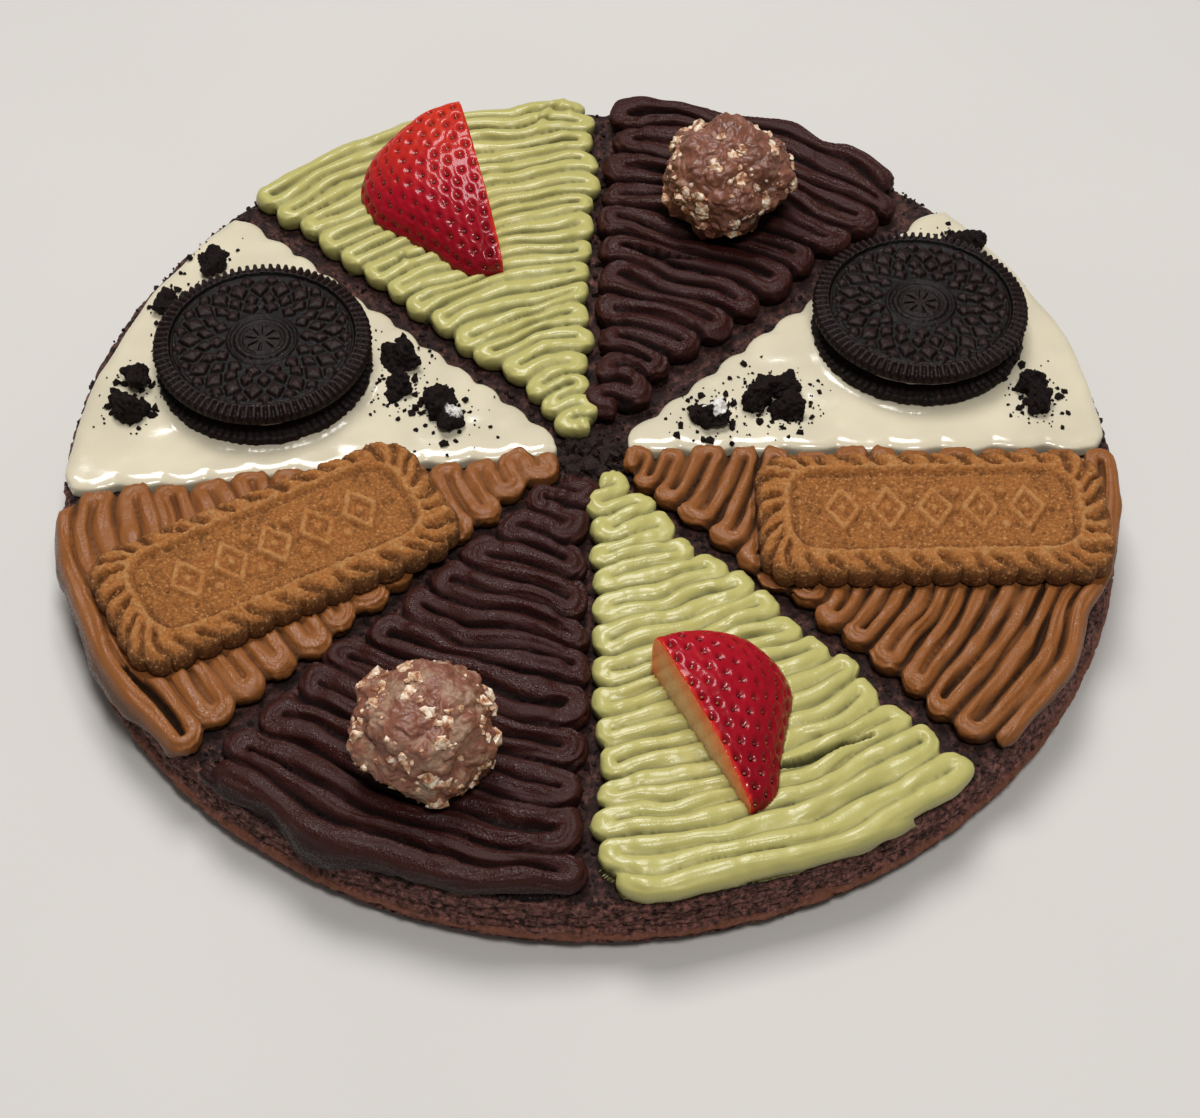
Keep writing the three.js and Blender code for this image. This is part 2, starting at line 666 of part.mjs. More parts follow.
// A praline: a milk chocolate ball, lumpy with chopped hazelnut
function pralineGeometry(praline) {
  const ball = new THREE.IcosahedronGeometry(1, 3);
  ball.deleteAttribute('normal');
  ball.deleteAttribute('uv');
  const lumpy = mergeVertices(ball, 1e-4);
  const p = new THREE.Vector3();
  for (let i = 0; i < lumpy.attributes.position.count; i++) {
    p.fromBufferAttribute(lumpy.attributes.position, i);
    const nut = hash(i + praline.seed) > 0.62 ? PRALINE_BUMP : 0;
    const swell = 0.5 * wave(p.x * 2 + 9, praline.seed) + 0.4 * wave(p.y * 2 + p.z + 5, praline.seed);
    p.multiplyScalar(praline.radius - 0.5 + swell * 0.6 + nut);
    lumpy.attributes.position.setXYZ(i, p.x, p.y, p.z);
  }
  return lumpy;
}

// A praline's hole, as wide as the ball is where it meets the tops of the piped lines
function pralineCutter({ at: [x, y, z], radius }) {
  const reach = radius + PRALINE_BUMP;
  const above = z - (ICING_FLOOR + 5.4);
  const cutter = roundCutter(Math.sqrt(reach ** 2 - above ** 2), reach, 18);
  return solidOf(cutter.translate(x, y, z - reach));
}

// The pieces of broken cookie in one node, flat underneath where they rest on the glaze
function brokenCookie(node, grow = 0) {
  const rest = ICING_FLOOR + POURED.find((wedge) => wedge.name === node.on).height + REST_GAP;
  const floor = new THREE.BoxGeometry(60, 60, 20);
  floor.translate(node.lumps[0][0], node.lumps[0][1], rest - 10);
  const lumps = node.lumps.map(([x, y, halfX, halfY, halfZ], i) => {
    const centre = new THREE.Vector3(x, y, rest + halfZ * 0.45);
    const half = new THREE.Vector3(halfX + grow, halfY + grow, halfZ + grow);
    return solidOf(lumpGeometry(new THREE.DodecahedronGeometry(1), centre, half, 0.16, x + i));
  });
  return joined(lumps).subtract(solidOf(floor));
}

// Everything that presses into a wedge of icing, a little larger than it is
function cuttersFor(name) {
  const onIt = (item) => item.on.includes(name);
  return [
    ...COOKIES.filter(onIt).map(cookieCutter),
    ...BISCUITS.filter(onIt).map((item) => biscuitCutter(biscuitPlace(item))),
    ...BERRIES.filter(onIt).map(berryCutter),
    ...PRALINES.filter(onIt).map(pralineCutter),
  ];
}

function biscuitPlace(item) {
  const place = new THREE.Group();
  place.position.set(...item.at);
  place.rotation.z = item.turn * DEGREE;
  return place;
}

// What the cutters leave of a solid: its largest piece, without loose scraps
function pressedInto(solid, cutters) {
  const rest = cutters.reduce((left, cutter) => left.subtract(cutter), solid);
  const largest = rest.decompose().reduce((a, b) => (a.volume() > b.volume() ? a : b));
  return largest.simplify(MERGE_LENGTH);
}

const cake = new THREE.Group();
cake.add(piece('brownie', brownie(), COLOURS.brownie, 0.85));

for (const wedge of PIPED) {
  const solid = pressedInto(pipedWedge(wedge), cuttersFor(wedge.name));
  cake.add(piece(wedge.name, geometryOf(solid), wedge.colour, 0.4));
}

for (const wedge of POURED) {
  const cutters = cuttersFor(wedge.name);
  const glaze = pressedInto(pouredWedge(wedge), cutters);
  const crumbed = joined([glaze, ...strewnCrumbs(wedge, glaze, cutters)]);
  cake.add(piece(wedge.name, geometryOf(crumbed), wedge.colour, 0.25));
}

for (const cookie of COOKIES) {
  cake.add(cookieGroup(cookie));
}

for (const item of BISCUITS) {
  const mesh = piece(item.name, biscuit(), COLOURS.biscuit, 0.85);
  cake.add(biscuitPlace(item).add(mesh));
}

for (const berry of BERRIES) {
  const mesh = piece(berry.name, geometryOf(berryQuarter(berry)), COLOURS.berry, 0.3);
  cake.add(berryPlace(berry).add(mesh));
}

for (const praline of PRALINES) {
  const mesh = piece(praline.name, pralineGeometry(praline), COLOURS.praline, 0.5);
  mesh.position.set(...praline.at);
  cake.add(mesh);
}

for (const node of BROKEN) {
  cake.add(piece(node.name, geometryOf(brokenCookie(node)), COLOURS.wafer, 0.85));
}

export default cake;
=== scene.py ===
"""A round chocolate brownie decorated in eight wedges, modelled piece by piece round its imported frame.

Shapes are worked out in millimetres, with the origin at the centre of the brownie's underside,
+X to the right and +Y away from the viewer, and are scaled to metres when a piece is finished.
"""

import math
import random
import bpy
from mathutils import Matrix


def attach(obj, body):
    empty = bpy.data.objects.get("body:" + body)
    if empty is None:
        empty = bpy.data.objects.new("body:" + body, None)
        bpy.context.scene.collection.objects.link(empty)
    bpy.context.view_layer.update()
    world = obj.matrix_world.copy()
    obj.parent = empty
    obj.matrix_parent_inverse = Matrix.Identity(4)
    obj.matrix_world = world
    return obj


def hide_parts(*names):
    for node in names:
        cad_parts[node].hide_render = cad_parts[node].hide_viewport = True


bl_info = {
    "name": "Decorated brownie",
    "version": (1, 0, 0),
    "blender": (4, 5, 0),
    "location": "3D View > Sidebar > Brownie",
    "description": "Builds a round brownie with piped cream, poured glaze and toppings",
    "category": "Add Mesh",
}

import bmesh
import bpy
from mathutils import Matrix, Vector, kdtree, noise
from mathutils.geometry import intersect_point_line

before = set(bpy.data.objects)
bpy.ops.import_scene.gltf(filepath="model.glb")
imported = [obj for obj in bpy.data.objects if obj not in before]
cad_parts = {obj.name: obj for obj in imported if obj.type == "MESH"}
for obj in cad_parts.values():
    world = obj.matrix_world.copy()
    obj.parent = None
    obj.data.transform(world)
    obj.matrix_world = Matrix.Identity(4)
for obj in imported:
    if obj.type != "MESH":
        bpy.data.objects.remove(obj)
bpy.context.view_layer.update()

MM = 0.001
TURN = 2 * math.pi
UP = Vector((0, 0, 1))

# Heights in the cake: the crusted ridge low on its side, its top, the icing's underside, the
# poured glaze, and what the toppings rest on
LIP_HEIGHT = 4.7
BROWNIE_TOP = 14.0
ICING_FLOOR = 14.02
GLAZE_HEIGHT = 3.2
GLAZE_TOP = ICING_FLOOR + GLAZE_HEIGHT
TOPPING_REST = 17.0
PRESSED_LEVEL = TOPPING_REST - 0.05

# The brownie's side from its underside up, as radius and height
SIDE_PROFILE = [(101, 0), (105.6, 1.6), (107, 4.6), (105.8, 6.6), (105.9, 12), (104.6, 14)]

# Piped wedges. Angles run anticlockwise from +X, in degrees; a gap is the bare strip left beside
# that edge, reach the radii that the rows lie between, two rows to a loop, bulge how far the rows
# bow from chords to arcs, inside and outside, rim_strands how many rows at the rim bow most,
# fullness a strand's half width at its loops and between them, as a share of the distance from
# one strand to the next, narrowest the shortest row, and crease the depth, half width and
# strength of the crease between strands, which scales both its depth and its painted shade.
PIPED = [
    {
        "name": "pistachio_cream_back", "slot": "pistachio_cream", "seed": 11,
        "angles": (89.2, 137.5), "gaps": (0.9, 1.8), "reach": (4.5, 104.6), "loops": 15,
        "height": 4.4, "bulge": (0.15, 0.95), "rim_strands": 2, "fullness": (0.62, 0.71),
        "narrowest": 7.6, "crease": (1.3, 0.7, 0.62),
    },
    {
        "name": "pistachio_cream_front", "slot": "pistachio_cream", "seed": 23,
        "angles": (270.3, 314.2), "gaps": (0.25, 1.4), "reach": (8.5, 105), "loops": 14,
        "height": 4.4, "bulge": (0.15, 0.95), "rim_strands": 2, "fullness": (0.62, 0.73),
        "narrowest": 7.6, "crease": (1.3, 0.7, 0.62),
    },
    {
        "name": "chocolate_ganache_back", "slot": "chocolate_ganache", "seed": 37,
        "angles": (45.5, 89.2), "gaps": (2.6, 0.4), "reach": (9.5, 105.2), "loops": 11,
        "height": 5.0, "bulge": (0.1, 0.95), "rim_strands": 2, "fullness": (0.57, 0.7),
        "narrowest": 5.4, "crease": (2.3, 1.05, 1),
    },
    {
        "name": "chocolate_ganache_front", "slot": "chocolate_ganache", "seed": 41,
        "angles": (226.6, 270.3), "gaps": (0.4, 0.25), "reach": (9.5, 105.2), "loops": 11,
        "height": 5.0, "bulge": (0.1, 1), "rim_strands": 3, "fullness": (0.57, 0.72),
        "narrowest": 7.6, "crease": (2.3, 1.05, 1),
    },
    {
        "name": "caramel_cream_left", "slot": "caramel_cream", "seed": 53,
        "angles": (187, 226.6), "gaps": (0.5, 1), "reach": (8.5, 106.8), "loops": 13,
        "height": 4.2, "bulge": (0.1, 1), "rim_strands": 2, "fullness": (0.71, 0.74),
        "narrowest": 7.6, "crease": (2, 0.75, 0.5),
    },
    {
        "name": "caramel_cream_right", "slot": "caramel_cream", "seed": 67,
        "angles": (314.2, 361), "gaps": (1.2, 0.5), "reach": (7.5, 105.2), "loops": 14,
        "height": 4.2, "bulge": (0.1, 1), "rim_strands": 1, "fullness": (0.57, 0.58),
        "narrowest": 7.6, "crease": (3, 1.15, 0.8),
    },
]

# The half width of a loop, as a share of the distance from one strand to the next, and the
# spacing of the points along a row
BEAD = 0.57
ROW_STEP = 1.3

# Below this height over its underside the cream's foot keeps its shape
FOOT_HEIGHT = 1.2

# Outside this radius the cream sags over the rim, by so much at most
SAG_FROM = 106
DEEPEST_SAG = 4.5

# The grids that fuse the poured glaze and the broken cookie; the piped cream's is a setting
GLAZE_GRAIN = 0.5
CRAG_GRAIN = 0.24

# How each cream takes its shape: the depth of the nozzle's ridges, their spacing across, and how
# far the strands stray
CREAMS = {
    "pistachio_cream": {"ridges": 0.1, "spacing": 1.7, "stray": 1},
    "chocolate_ganache": {"ridges": 0.5, "spacing": 1.45, "stray": 1.1},
    "caramel_cream": {"ridges": 0.42, "spacing": 1.15, "stray": 0.8},
}

# Threads and smears of cream on a wedge, each a line of points with half widths in mm
THREADS = {
    "pistachio_cream_back": [
        [(-7, 104, 18.2, 0.7), (-9, 102.5, 19, 0.9), (-11, 98, 18.9, 0.8), (-13.6, 94, 18.6, 0.7),
         (-15, 90.5, 17.8, 0.3)],
        [(-8, 104.5, 18.4, 0.8), (-6, 101, 18.6, 0.6), (-5, 98, 18, 0.3)],
        [(-44.5, 52.5, 17.6, 0.4), (-41.5, 53.5, 18.8, 0.8), (-40, 51, 18.6, 0.6), (-36.5, 51.8, 17.8, 0.3)],
    ],
    "pistachio_cream_front": [
        [(49, -92, 16.6, 1.9), (54, -90.4, 16.4, 1.3), (58, -88.9, 15.8, 0.7), (60.5, -88, 15.2, 0.2)],
        [(26.6, -91, 16, 1.2), (29.5, -90.4, 16.6, 1.6), (32.4, -90, 16, 1.1)],
    ],
    "chocolate_ganache_front": [
        [(-69.5, -78.2, 15.4, 1.3), (-64.2, -83.2, 15.2, 1.5), (-55.8, -88.8, 14.8, 1.5),
         (-45.8, -94.4, 14.6, 1.6), (-35.8, -98.8, 14.6, 1.2), (-26.5, -101.6, 14.6, 0.6)],
    ],
}

# Slits where neighbouring strands stand apart: both ends and the half width, in mm
SLITS = {
    "pistachio_cream_front": [(34, -77.8, 53, -71.2, 0.4)],
    "caramel_cream_left": [(-86.4, -56.6, -73.8, -72.3, 0.6), (-85.5, -30, -82.5, -39, 0.3)],
    "chocolate_ganache_back": [(6, 56, 22, 53.5, 0.4)],
}

# Poured wedges. Inner is where the straight edges start, outer the rim's radius at each edge;
# scallops are the waves along each straight edge, and depth how deep they are.
POURED = [
    {
        "name": "white_glaze_left", "seed": 71, "angles": (137.5, 187), "gaps": (2.1, -0.3),
        "inner": 6.5, "outer": (102.4, 105.6), "scallops": (12, 11), "depth": (1.5, 1.1),
    },
    {
        "name": "white_glaze_right", "seed": 83, "angles": (1, 45.5), "gaps": (-0.2, 1.9),
        "inner": 7.5, "outer": (104.2, 104.2), "scallops": (9, 11), "depth": (1.1, 1.5),
    },
]

# Sandwich cookies: the middle of the underside, and the tilt and turn in degrees
COOKIES = [
    {"name": "cookie_left", "at": (-67.3, 21.1, 16.4), "tilt": -0.5, "turn": 20},
    {"name": "cookie_right", "at": (67.8, 33.8, 16.2), "tilt": -2.4, "turn": 75},
]

# How a sandwich cookie is built up: a wafer's thickness, the height of its sunk face, the filling's
# section as radius and height, and the height of the top wafer
WAFER_THICKNESS = 3
SUNK_FACE = 2.05
FILLING_PROFILE = [(0, 3.3), (18.9, 3.3), (19.3, 3.8), (19.3, 5.8), (18.9, 6.3), (0, 6.3)]
TOP_WAFER_HEIGHT = 6.6

# Caramel biscuits: the middle of the underside, and the turn in degrees
BISCUITS = [
    {"name": "caramel_biscuit_left", "at": (-60.3, -31, 17), "turn": 30},
    {"name": "caramel_biscuit_right", "at": (67, -19.8, 17), "turn": 1.8},
]

# Parts of a biscuit that are rounded rectangles: half length, half width and corner radius of the
# print that it leaves in the cream and of its sunk panel
BISCUIT_PRINT = (35, 15.9, 6)
BISCUIT_PANEL = (27.4, 9.5, 5.5)
BISCUIT_THICKNESS = 6.2

# Quarter strawberries: the tip, the heading of the upright cut, the side of it that the fruit
# is on (1 left, -1 right), the length, and how far the shoulder is paler
BERRIES = [
    {
        "name": "strawberry_back", "tip": (-19.2, 48.4, 17), "heading": 105.3, "side": 1,
        "length": 42, "pale": 0.95,
    },
    {
        "name": "strawberry_front", "tip": (29.6, -88.4, 17), "heading": 119.2, "side": -1,
        "length": 36.2, "pale": 0.5,
    },
]

# A strawberry from tip to crown: place along it, half width and half height, in shares of its length
BERRY_OUTLINE = [
    (0, 0, 0), (0, 0.09, 0.08), (0.02, 0.17, 0.12), (0.09, 0.23, 0.17), (0.2, 0.3, 0.22),
    (0.34, 0.42, 0.28), (0.5, 0.55, 0.32), (0.66, 0.59, 0.35), (0.82, 0.56, 0.37),
    (0.92, 0.46, 0.375), (0.975, 0.33, 0.34), (1, 0.17, 0.24), (1, 0, 0),
]

# Pralines: the centre and radius, how many nut bits, how high the lumps, how dusty the bloom, the
# stretch along each axis, and the way to the chipped side with the chip's depth
PRALINES = [
    {
        "name": "hazelnut_praline_back", "at": (28.3, 66.5, 29.3), "radius": 14, "seed": 5,
        "nuts": 340, "lumps": 2.6, "bloom": 0.16,
        "stretch": (1.04, 1, 0.93), "chip": (0.71, -0.55, -0.45, 4.2),
    },
    {
        "name": "hazelnut_praline_front", "at": (-28.9, -78.2, 28.5), "radius": 13.2, "seed": 9,
        "nuts": 260, "lumps": 1.8, "bloom": 0.42,
        "stretch": (1.1, 1.02, 0.96), "chip": (-0.71, -0.55, -0.45, 1.5),
    },
]

# Broken cookie: each node's lumps, with their place and three half sizes, and how much of the
# white filling sticks to it
BROKEN = [
    {"name": "cookie_piece_left_rim", "filling": 0, "lumps": [(-82.6, 50.2, 4.6, 4.2, 3.6)]},
    {"name": "cookie_piece_left_behind", "filling": 0, "lumps": [(-89, 37.4, 3.4, 3, 3.4)]},
    {
        "name": "cookie_pieces_left_outer", "filling": 0,
        "lumps": [(-93.2, 9.4, 4.4, 4.8, 3.4), (-93.4, 15.6, 3.2, 3.6, 3.2)],
    },
    {"name": "cookie_piece_left_inner", "filling": 0, "lumps": [(-39.4, 23.4, 5, 3.9, 3.8)]},
    {"name": "cookie_piece_left_low", "filling": 0, "lumps": [(-40.4, 14.2, 3.4, 4.2, 3.4)]},
    {
        "name": "cookie_piece_left_long", "filling": 0.45,
        "lumps": [(-31.2, 10.8, 3.8, 4.4, 3.4), (-28.6, 6.4, 3.4, 4.8, 3)],
    },
    {"name": "cookie_piece_right_tip", "filling": 0.8, "lumps": [(24.2, 8.2, 4.6, 3.8, 2.9)]},
    {
        "name": "cookie_pieces_right_inner", "filling": 0.1,
        "lumps": [(33.4, 13.6, 4.2, 4, 3.4), (38.6, 16.6, 4, 3.4, 3.2), (39.8, 10.6, 3.4, 4, 3.2)],
    },
    {
        "name": "cookie_pieces_right_outer", "filling": 0,
        "lumps": [(90.4, 17.8, 3.3, 3.4, 3.8), (91.4, 12.8, 3.2, 3.2, 3)],
    },
    {"name": "cookie_piece_right_behind", "filling": 0, "lumps": [(79.6, 59, 4.4, 3.6, 4.2)]},
]

# The camera: its angle above level and its roll in degrees, its lens in mm and its place in metres
CAMERA_ELEVATION = 50.67
CAMERA_ROLL = 0.704
CAMERA_LENS = 77.81
CAMERA_PLACE = (0.0021, -0.34778, 0.40625)


def linear(code):
    """The linear colour of an sRGB hex value."""
    shares = [(code >> shift & 255) / 255 for shift in (16, 8, 0)]
    return tuple(c / 12.92 if c <= 0.04045 else ((c + 0.055) / 1.055) ** 2.4 for c in shares)


def colour_setting(label, says, code):
    """A colour that a user may change, from its sRGB hex value."""
    return bpy.props.FloatVectorProperty(
        name=label, description=says, subtype="COLOR", size=3, min=0, max=1, default=linear(code)
    )


def length_setting(label, says, millimetres):
    """A length that a user may change, kept in metres."""
    return bpy.props.FloatProperty(
        name=label, description=says, unit="LENGTH", min=0, precision=4, default=millimetres * MM
    )


class BrownieLook(bpy.types.PropertyGroup):
    crumb: colour_setting("Crumb", "Colour of the baked brownie's crumb", 0x2F1B17)
    crust: colour_setting("Crust", "Colour of the thin ridge low on its side", 0x8A543C)
    crumb_size: length_setting("Loose crumb", "Radius of an average loose crumb", 0.55)


class IcingLook(bpy.types.PropertyGroup):
    pistachio: colour_setting("Pistachio cream", "Colour of the green piped cream", 0xABA463)
    ganache: colour_setting("Ganache", "Colour of the dark piped ganache", 0x2D120E)
    caramel: colour_setting("Caramel cream", "Colour of the brown piped cream", 0x824F27)
    glaze: colour_setting("White glaze", "Colour of the poured glaze", 0xCFC5AC)
    grain: length_setting("Fusing grain", "Size of the grid that fuses the piped strands", 0.42)


class ToppingLook(bpy.types.PropertyGroup):
    berry: colour_setting("Strawberry", "Colour of the ripe skin", 0x9C0A1E)
    shoulder: colour_setting("Strawberry shoulder", "Colour of the skin near the crown", 0xC23016)
    flesh: colour_setting("Strawberry flesh", "Colour of the cut flesh", 0xFFA070)
    chocolate: colour_setting("Praline chocolate", "Colour of the milk chocolate", 0x825240)
    nut: colour_setting("Chopped hazelnut", "Colour of the roasted nut", 0xC9A07C)
    cocoa: colour_setting("Cocoa wafer", "Colour of the black cookie", 0x190B09)
    filling: colour_setting("Cookie filling", "Colour of the white filling", 0xE6E2DC)
    biscuit: colour_setting("Caramel biscuit", "Colour of the baked biscuit", 0xB9763A)
    cookie_radius: length_setting("Cookie radius", "Radius of a sandwich cookie", 22.4)
    biscuit_length: length_setting("Biscuit length", "Length of a caramel biscuit", 70)
    biscuit_width: length_setting("Biscuit width", "Width of a caramel biscuit", 31.8)


class StageLook(bpy.types.PropertyGroup):
    floor: colour_setting("Floor", "Colour of the floor", 0xC9C5C0)


def hash_share(n):
    """A repeatable value from 0 to 1 for a number."""
    s = math.sin(n * 12.9898) * 43758.5453
    return s - math.floor(s)


def wave(x, seed):
    """A smooth repeatable wave from -1 to 1."""
    cell = math.floor(x)
    f = x - cell
    blend = f * f * (3 - 2 * f)
    a, b = hash_share(cell + seed), hash_share(cell + 1 + seed)
    return 2 * (a + (b - a) * blend) - 1


def between(a, b, share):
    """The value at a share of the way from a to b."""
    return a + (b - a) * share


def ramp(x, low, high):
    """0 below low, 1 above high, and smooth in between; low may be the larger."""
    f = min(1, max(0, (x - low) / (high - low)))
    return f * f * (3 - 2 * f)


def rough(point, size, octaves):
    """Fractal noise of a feature size in mm, from about -1 to 1."""
    return noise.fractal(point / size, 1.0, 2.0, octaves, noise_basis="PERLIN_ORIGINAL")


def cell_distance(point, size):
    """Distance to the nearest of points strewn about size mm apart, in shares of size."""
    return noise.voronoi(point / size)[0][0]


# Shapes

def sheet(columns, rows, place):
    """A grid bent to shape: place gives a point for the shares 0 to 1 of its two sides."""
    bm = bmesh.new()
    bmesh.ops.create_grid(bm, x_segments=columns, y_segments=rows, size=0.5)
    for v in bm.verts:
        v.co = place(v.co.x + 0.5, v.co.y + 0.5)
    bmesh.ops.remove_doubles(bm, verts=bm.verts, dist=0.003)
    return bm


def lathe(sides, profile):
    """A closed body turned about +Z from a profile of radii and heights, from its underside up."""
    def place(u, v):
        radius, height = profile[round(v * (len(profile) - 1))]
        return Vector((radius * math.cos(TURN * u), radius * math.sin(TURN * u), height))
    return sheet(sides, len(profile) - 1, place)


def spaced(corners, step):
    """Points a step apart along a line of corners, each a tuple of numbers, with the corners kept."""
    points = [corners[0]]
    for a, b in zip(corners, corners[1:]):
        parts = max(1, round(math.dist(a, b) / step))
        points += [tuple(between(p, q, i / parts) for p, q in zip(a, b)) for i in range(1, parts + 1)]
    return points


def fused(bm, grain):
    """One skin round everything in a bmesh, as soft food runs together."""
    mesh = bpy.data.meshes.new("fusing")
    bm.to_mesh(mesh)
    bm.free()
    holder = bpy.data.objects.new("fusing", mesh)
    bpy.context.scene.collection.objects.link(holder)
    remesh = holder.modifiers.new("fuse", "REMESH")
    remesh.mode = "VOXEL"
    remesh.voxel_size = grain
    skin = bmesh.new()
    skin.from_object(holder, bpy.context.evaluated_depsgraph_get())
    bpy.data.objects.remove(holder)
    bpy.data.meshes.remove(mesh)
    return skin


def tube(bm, path, flatten=1):
    """Adds a round strand along a path of points, each with a half width, its height flattened."""
    curve = bpy.data.curves.new("strand", "CURVE")
    curve.dimensions = "3D"
    curve.bevel_depth = 1
    curve.bevel_resolution = 4
    curve.use_fill_caps = True
    line = curve.splines.new("POLY")
    line.points.add(len(path) - 1)
    for end, (point, half) in zip(line.points, path):
        end.co = (point.x, point.y, point.z / flatten, 1)
        end.radius = half
    holder = bpy.data.objects.new("strand", curve)
    bpy.context.scene.collection.objects.link(holder)
    graph = bpy.context.evaluated_depsgraph_get()
    mesh = bpy.data.meshes.new_from_object(holder.evaluated_get(graph), depsgraph=graph)
    before = len(bm.verts)
    bm.from_mesh(mesh)
    bm.verts.ensure_lookup_table()
    bmesh.ops.scale(bm, vec=(1, 1, flatten), verts=bm.verts[before:])
    bpy.data.objects.remove(holder)
    bpy.data.curves.remove(curve)
    bpy.data.meshes.remove(mesh)


def cut_level(bm, height):
    """Cuts a body off level below a height and closes its underside."""
    everything = [*bm.verts, *bm.edges, *bm.faces]
    bmesh.ops.bisect_plane(bm, geom=everything, plane_co=(0, 0, height), plane_no=UP, clear_inner=True)
    bmesh.ops.holes_fill(bm, edges=[e for e in bm.edges if e.is_boundary])


def smoothed(bm, floor, rounds):
    """Evens out a fused skin above its floor."""
    loose = [v for v in bm.verts if v.co.z > floor + 0.02]
    for _ in range(rounds):
        bmesh.ops.smooth_vert(bm, verts=loose, factor=0.5, use_axis_x=True, use_axis_y=True, use_axis_z=True)


def tree_of(points):
    """A tree that finds the points nearest to a place."""
    tree = kdtree.KDTree(len(points))
    for i, point in enumerate(points):
        tree.insert(point, i)
    tree.balance()
    return tree


def move_along_normals(bm, amount):
    """Moves each vertex along its normal by what amount says for it."""
    bm.normal_update()
    for v, push in [(v, v.normal * amount(v)) for v in bm.verts]:
        v.co += push


def placed(bm, at, turn, tilt=0):
    """Turns a body about +Z, tilts it about +X and sets it in place."""
    turned = Matrix.Rotation(math.radians(tilt), 4, "X") @ Matrix.Rotation(math.radians(turn), 4, "Z")
    bmesh.ops.transform(bm, matrix=Matrix.Translation(at) @ turned, verts=bm.verts)


def finished(name, bm, materials, nodes, faceted=False):
    """Makes a bmesh in mm a piece of the cake, which stands for CAD nodes."""
    bmesh.ops.recalc_face_normals(bm, faces=bm.faces)
    bmesh.ops.scale(bm, vec=(MM, MM, MM), verts=bm.verts)
    for face in bm.faces:
        face.smooth = not faceted and len(face.verts) <= 4
    mesh = bpy.data.meshes.new(name)
    bm.to_mesh(mesh)
    bm.free()
    for material in materials:
        mesh.materials.append(material)
    piece = bpy.data.objects.new(name, mesh)
    bpy.context.scene.collection.objects.link(piece)
    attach(piece, "root")
    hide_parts(*nodes)
    return piece


def crumb(bm, at, radius, chance, ragged):
    """Adds one crumb of twenty faces, its corners moved in and out by up to the share ragged."""
    turn = Matrix.Rotation(chance.uniform(0, TURN), 4, "Z") @ Matrix.Rotation(chance.uniform(0, TURN), 4, "X")
    made = bmesh.ops.create_icosphere(bm, subdivisions=1, radius=radius, matrix=Matrix.Translation(at) @ turn)
    centre = Vector(at)
    for v in made["verts"]:
        v.co = centre + (v.co - centre) * chance.uniform(1 - ragged, 1 + ragged)


# Materials

def shade(colour, by):
    """A colour made darker or lighter by a factor."""
    return tuple(min(1, c * by) for c in colour)


def scale_of(size):
    """The scale of a pattern whose features are about size mm, on coordinates in metres."""
    return 1 / (size * MM)


def add_node(tree, kind, settings=()):
    """Adds a node. A setting is an input's value, or a node or socket to link to it, or else one of the
    node's own properties; a node stands for its first output, and stops are those of a colour ramp."""
    node = tree.nodes.new(kind)
    for key, value in dict(settings).items():
        if isinstance(value, bpy.types.Node):
            value = value.outputs[0]
        if key == "stops":
            elements = node.color_ramp.elements
            for i, (position, colour) in enumerate(value):
                stop = elements[i] if i < 2 else elements.new(position)
                stop.position = position
                stop.color = (*colour, 1)
        elif isinstance(value, bpy.types.NodeSocket):
            tree.links.new(value, node.inputs[key])
        elif isinstance(key, int) or key in node.inputs:
            socket = node.inputs[key]
            socket.default_value = (*value, 1) if socket.type == "RGBA" else value
        else:
            setattr(node, key, value)
    return node


def new_material(name):
    """A new material with its node tree, and the coordinates that its patterns follow."""
    made = bpy.data.materials.new(name)
    made.use_nodes = True
    made.node_tree.nodes.clear()
    place = add_node(made.node_tree, "ShaderNodeTexCoord").outputs["Object"]
    return made, made.node_tree, place


def surfaced(made, settings):
    """Gives a material its shader."""
    shader = add_node(made.node_tree, "ShaderNodeBsdfPrincipled", settings)
    add_node(made.node_tree, "ShaderNodeOutputMaterial", {"Surface": shader})
    return made


def wavering(tree, value, pattern, amount):
    """A value moved up or down by a pattern, by half of amount at most."""
    shift = add_node(tree, "ShaderNodeMath", {
        "operation": "MULTIPLY_ADD", 0: pattern, 1: amount, 2: -amount / 2,
    })
    return add_node(tree, "ShaderNodeMath", {"operation": "ADD", 0: value, 1: shift})


